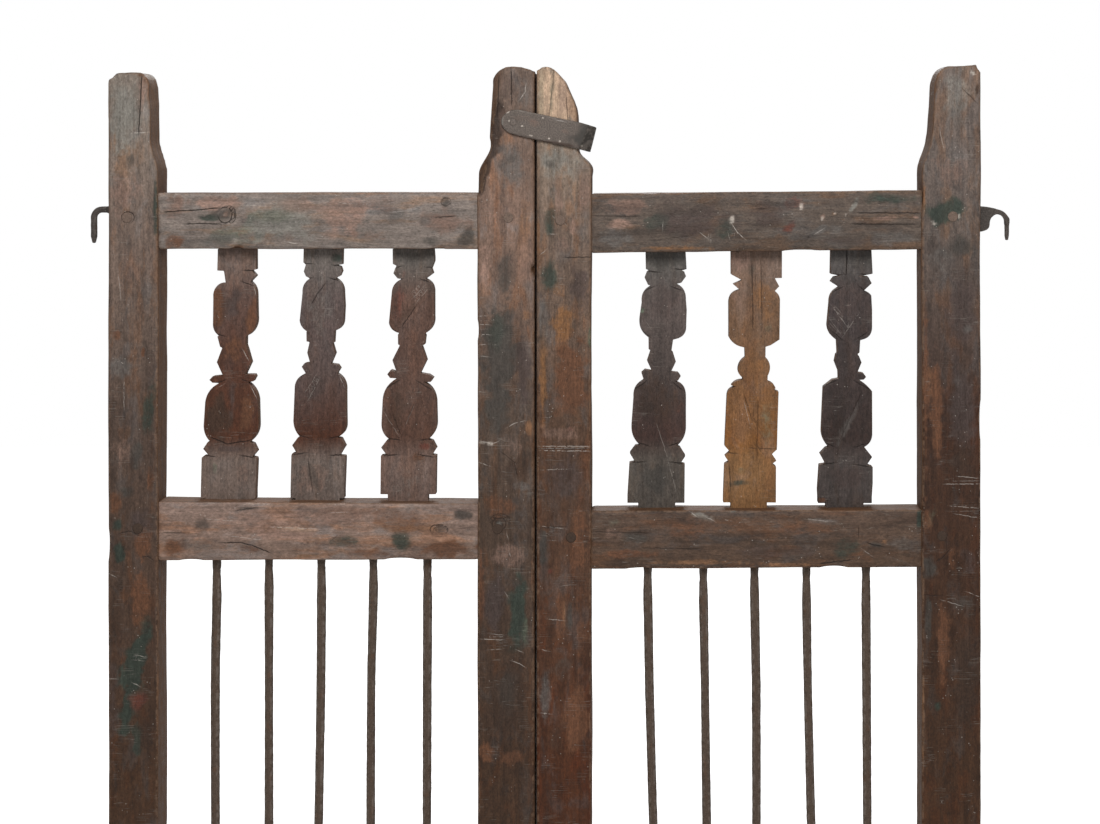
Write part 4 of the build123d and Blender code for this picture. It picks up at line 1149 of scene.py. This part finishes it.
def iron(name, shift, tone, rust_share, speck_share, metal, rough, painted=True):
    made, tree = new_finish(name)
    place = add(tree, "TexCoord").outputs["Object"]
    coarse = noise(tree, place, (70, 70, 45), 5, 0.65, shift=shift)
    fine = noise(tree, place, (420, 420, 420), 4, 0.6, shift=shift)
    darker, lighter = rgb(*(part * 0.66 for part in tone)), rgb(*(part * 1.3 for part in tone))
    colour = blend(tree, fade(tree, fine, 0.3, 0.7), darker, lighter)
    rust = calc(tree, "ADD", coarse, times(tree, fine, 0.25))
    colour = lay(tree, colour, fade(tree, rust, 0.80 - rust_share, 0.92 - rust_share), 0.6, RUST)
    if painted:
        kept = add(tree, "Attribute", {"attribute_name": "paint"}).outputs
        colour = blend(tree, torn_cover(tree, kept["Alpha"], fine, 0.5), colour, kept["Color"])
    dots = noise(tree, place, (260, 260, 260), 2, 0.5, shift=shift + 2)
    colour = lay(tree, colour, fade(tree, dots, 0.76 - speck_share, 0.80 - speck_share), 0.6, IRON_SPECK)
    colour = lay(tree, colour, use(tree, corner, Vector=place)["Worn"], 0.35, IRON_WORN)
    if painted:
        colour = blend(tree, use(tree, drawn, Vector=place)["Scratches"], colour, IRON_SCRATCH)
    ridge = calc(tree, "ADD", times(tree, coarse, 1.4), fine)
    surface(tree, colour, ridge, 0.5, 0.0009, Metallic=metal, Specular_IOR_Level=0.30,
            Roughness=fade(tree, coarse, 0.3, 0.7, rough - 0.12, rough + 0.14))
    return made


# On the strap, the large slate spot over its bent right end is painted shade where that end turns away from
# the light. The long thin umber line along its lower edge is a painted shadow line, and the thin pale grey
# lines along its upper edge and at its left end are painted highlights.
IRON_SPOTS_AND_PAINTED_LIGHT = {
    "latch_strap": """
    slate 590 138 17 40 .8; umber 545 142 42 2.2 .6 8; mist 535 112 34 1.6 .5 8; mist 502.5 121 1.6 8 .6;
    blush 520 118 16 5 .3; chip 509.5 121 1.6 1.5 .9; chip 522 126 1.3 1.1 .8; chip 543 118 1.5 1.1 .7 20;
    chip 549 138.5 1.2 1.1 .8; chip 560 141 1.2 1 .7; chip 582 146 1.2 1 .6; blush 564 131 5 3 .4;
    blush 535 124 6 3 .4; chip 508 112 2.6 1.2 .7 -30; chip 531 135.5 2.4 1 .6 8""",
}
IRON_SCRATCHES = {"latch_strap": ".5 503,128 506,130; .4 556,120 566,122"}

bar_iron = iron("bar_iron", 0.0, (0.080, 0.054, 0.038), 0.10, 0.02, metal=0.10, rough=0.62)
hook_iron = iron("hook_iron", 3.0, (0.070, 0.058, 0.050), 0.06, 0.03, metal=0.20, rough=0.58)
strap_iron = iron("strap_iron", 6.0, (0.112, 0.090, 0.076), 0.00, 0.00, metal=0.20, rough=0.55)
nail_iron = iron("nail_iron", 9.0, (0.115, 0.092, 0.078), 0.03, 0.03, metal=0.20, rough=0.55, painted=False)
for number, (node, piece) in enumerate(pieces.items()):
    if slot_of[node] == "iron":
        paint(piece, IRON_SPOTS_AND_PAINTED_LIGHT.get(node, ""), number)
        draw(piece, "", IRON_SCRATCHES.get(node, ""))
        made = bar_iron if "bar" in node else strap_iron if "strap" in node else hook_iron
        piece.data.materials.append(made)
print("irons:", bar_iron.name, hook_iron.name, strap_iron.name, nail_iron.name)

# %% [markdown]
# Nails, pegs and the latch's pivot are small and already right, so their solids stay and only take
# a finish. A peg shows end grain: rings around its own middle.

# %% Finishes for the solids that stay
# Like the stiles around them, pegs lower down are darker: partly their colour, partly a painted fall-off of
# the light.
PEG_TONES_AND_LIGHT = ((-0.56, (0.052, 0.032, 0.022)), (-0.1, (0.158, 0.110, 0.085)))
PEG_PORE = rgb(0.030, 0.021, 0.016)

peg_end, tree = new_finish("peg_end_grain")
place = add(tree, "TexCoord").outputs["Object"]
rings = noise(tree, place, (300, 8, 300), 3, 0.6, 1.5)
fine = noise(tree, place, (900, 60, 900), 2, 0.5)
colour = tones_and_light_by_height(tree, place, PEG_TONES_AND_LIGHT)
colour = blend(tree, 1.0, colour, fade(tree, rings, 0.35, 0.65, 0.75, 1.15), "MULTIPLY")
colour = blend(tree, fade(tree, fine, 0.58, 0.66, 0.0, 0.5), colour, PEG_PORE)
surface(tree, colour, calc(tree, "ADD", rings, fine), 0.5, 0.001, Specular_IOR_Level=0.2,
        Roughness=fade(tree, rings, 0.3, 0.7, 0.6, 0.8))

for node, cad in frame["nodes"].items():
    if node not in pieces:
        for k in range(len(cad.data.materials)):
            cad.data.materials[k] = peg_end if "pegs" in node else nail_iron
for node, piece in pieces.items():
    settle(piece, node)
print("solids that stay:", len(frame["nodes"]) - len(pieces))

# %% [markdown]
# ## Floor, light and camera
# The gate hangs from its hooks a little above a plain pale floor. To the camera the floor and the
# sky are nearly white, while the lamps stay at a plain level, so that the wood keeps its own colour.

# %% The floor and the white background
FLOOR_SIZE, FLOOR_PLACE = 14.0, (0.8, 1.0, -1.575)
SKY_LIGHT, SKY_SEEN, FLOOR_GLOW = 0.26, 1.0, 0.85


def to_the_camera(tree, plain, seen):
    """One shader for the light that falls on the gate, and another for the camera's own view."""
    rays = add(tree, "LightPath").outputs
    mixed = add(tree, "MixShader", Fac=rays["Is Camera Ray"], _1=plain.outputs[0], _2=seen.outputs[0])
    return mixed.outputs[0]


world = bpy.data.worlds.new("studio")
bpy.context.scene.world = world
world.use_nodes = True
tree = world.node_tree
tree.nodes.clear()
sky = add(tree, "Background", Color=WHITE, Strength=SKY_LIGHT)
seen_sky = add(tree, "Background", Color=WHITE, Strength=SKY_SEEN)
add(tree, "OutputWorld", Surface=to_the_camera(tree, sky, seen_sky))

bpy.ops.object.select_all(action="DESELECT")
bpy.ops.mesh.primitive_plane_add(size=FLOOR_SIZE, location=FLOOR_PLACE)
floor = bpy.context.active_object
floor.name = "floor"
floor_paint, tree = new_finish("floor_paint")
matt = add(tree, "BsdfDiffuse", Color=rgb(0.80, 0.80, 0.80))
lift = add(tree, "Emission", Color=WHITE, Strength=FLOOR_GLOW)
both = add(tree, "AddShader", _0=matt.outputs[0], _1=lift.outputs[0])
add(tree, "OutputMaterial", Surface=to_the_camera(tree, matt, both))
floor.data.materials.append(floor_paint)
print("floor:", FLOOR_SIZE, "m wide, at height", FLOOR_PLACE[2])

# %% [markdown]
# Three soft lamps light the gate: the key from the front and above, a faint fill from the right, and
# one behind, so that the back can be seen as well.

# %% Soft lamps
def lamp(name, place, look_at, wide, tall, power):
    light = bpy.data.lights.new(name, "AREA")
    light.shape, light.size, light.size_y, light.energy = "RECTANGLE", wide, tall, power
    holder = bpy.data.objects.new(name, light)
    bpy.context.scene.collection.objects.link(holder)
    holder.location = place
    holder.rotation_euler = (Vector(look_at) - Vector(place)).to_track_quat("-Z", "Y").to_euler()
    print("lamp:", name, power, "W")


lamp("key", (0.9, -3.4, 2.2), (0.85, 0.0, -0.2), 2.4, 1.6, 140.0)
lamp("fill", (1.9, -3.4, 0.0), (0.85, 0.0, -0.5), 1.6, 2.0, 12.0)
lamp("rear", (0.85, 3.6, 2.4), (0.85, 0.0, -0.5), 2.4, 1.6, 90.0)

# %% [markdown]
# The camera stands where the photographer stood. It looks level, and its picture is shifted, so
# that upright lines stay upright.

# %% The camera
SENSOR = 36.0

eye = bpy.data.cameras.new("camera")
eye.sensor_width = SENSOR
eye.lens = SENSOR * LENS_PIXELS / PICTURE_WIDE
eye.shift_x = -(AHEAD_X - PICTURE_WIDE / 2) / PICTURE_WIDE
eye.shift_y = -(PICTURE_TALL / 2 - AHEAD_Y) / PICTURE_WIDE
camera = bpy.data.objects.new("camera", eye)
bpy.context.scene.collection.objects.link(camera)
camera.location = EYE
camera.rotation_euler = (math.radians(90.0), 0.0, 0.0)
bpy.context.scene.camera = camera
bpy.context.scene.view_settings.view_transform = "Standard"
print("lens:", round(eye.lens, 2), "mm")
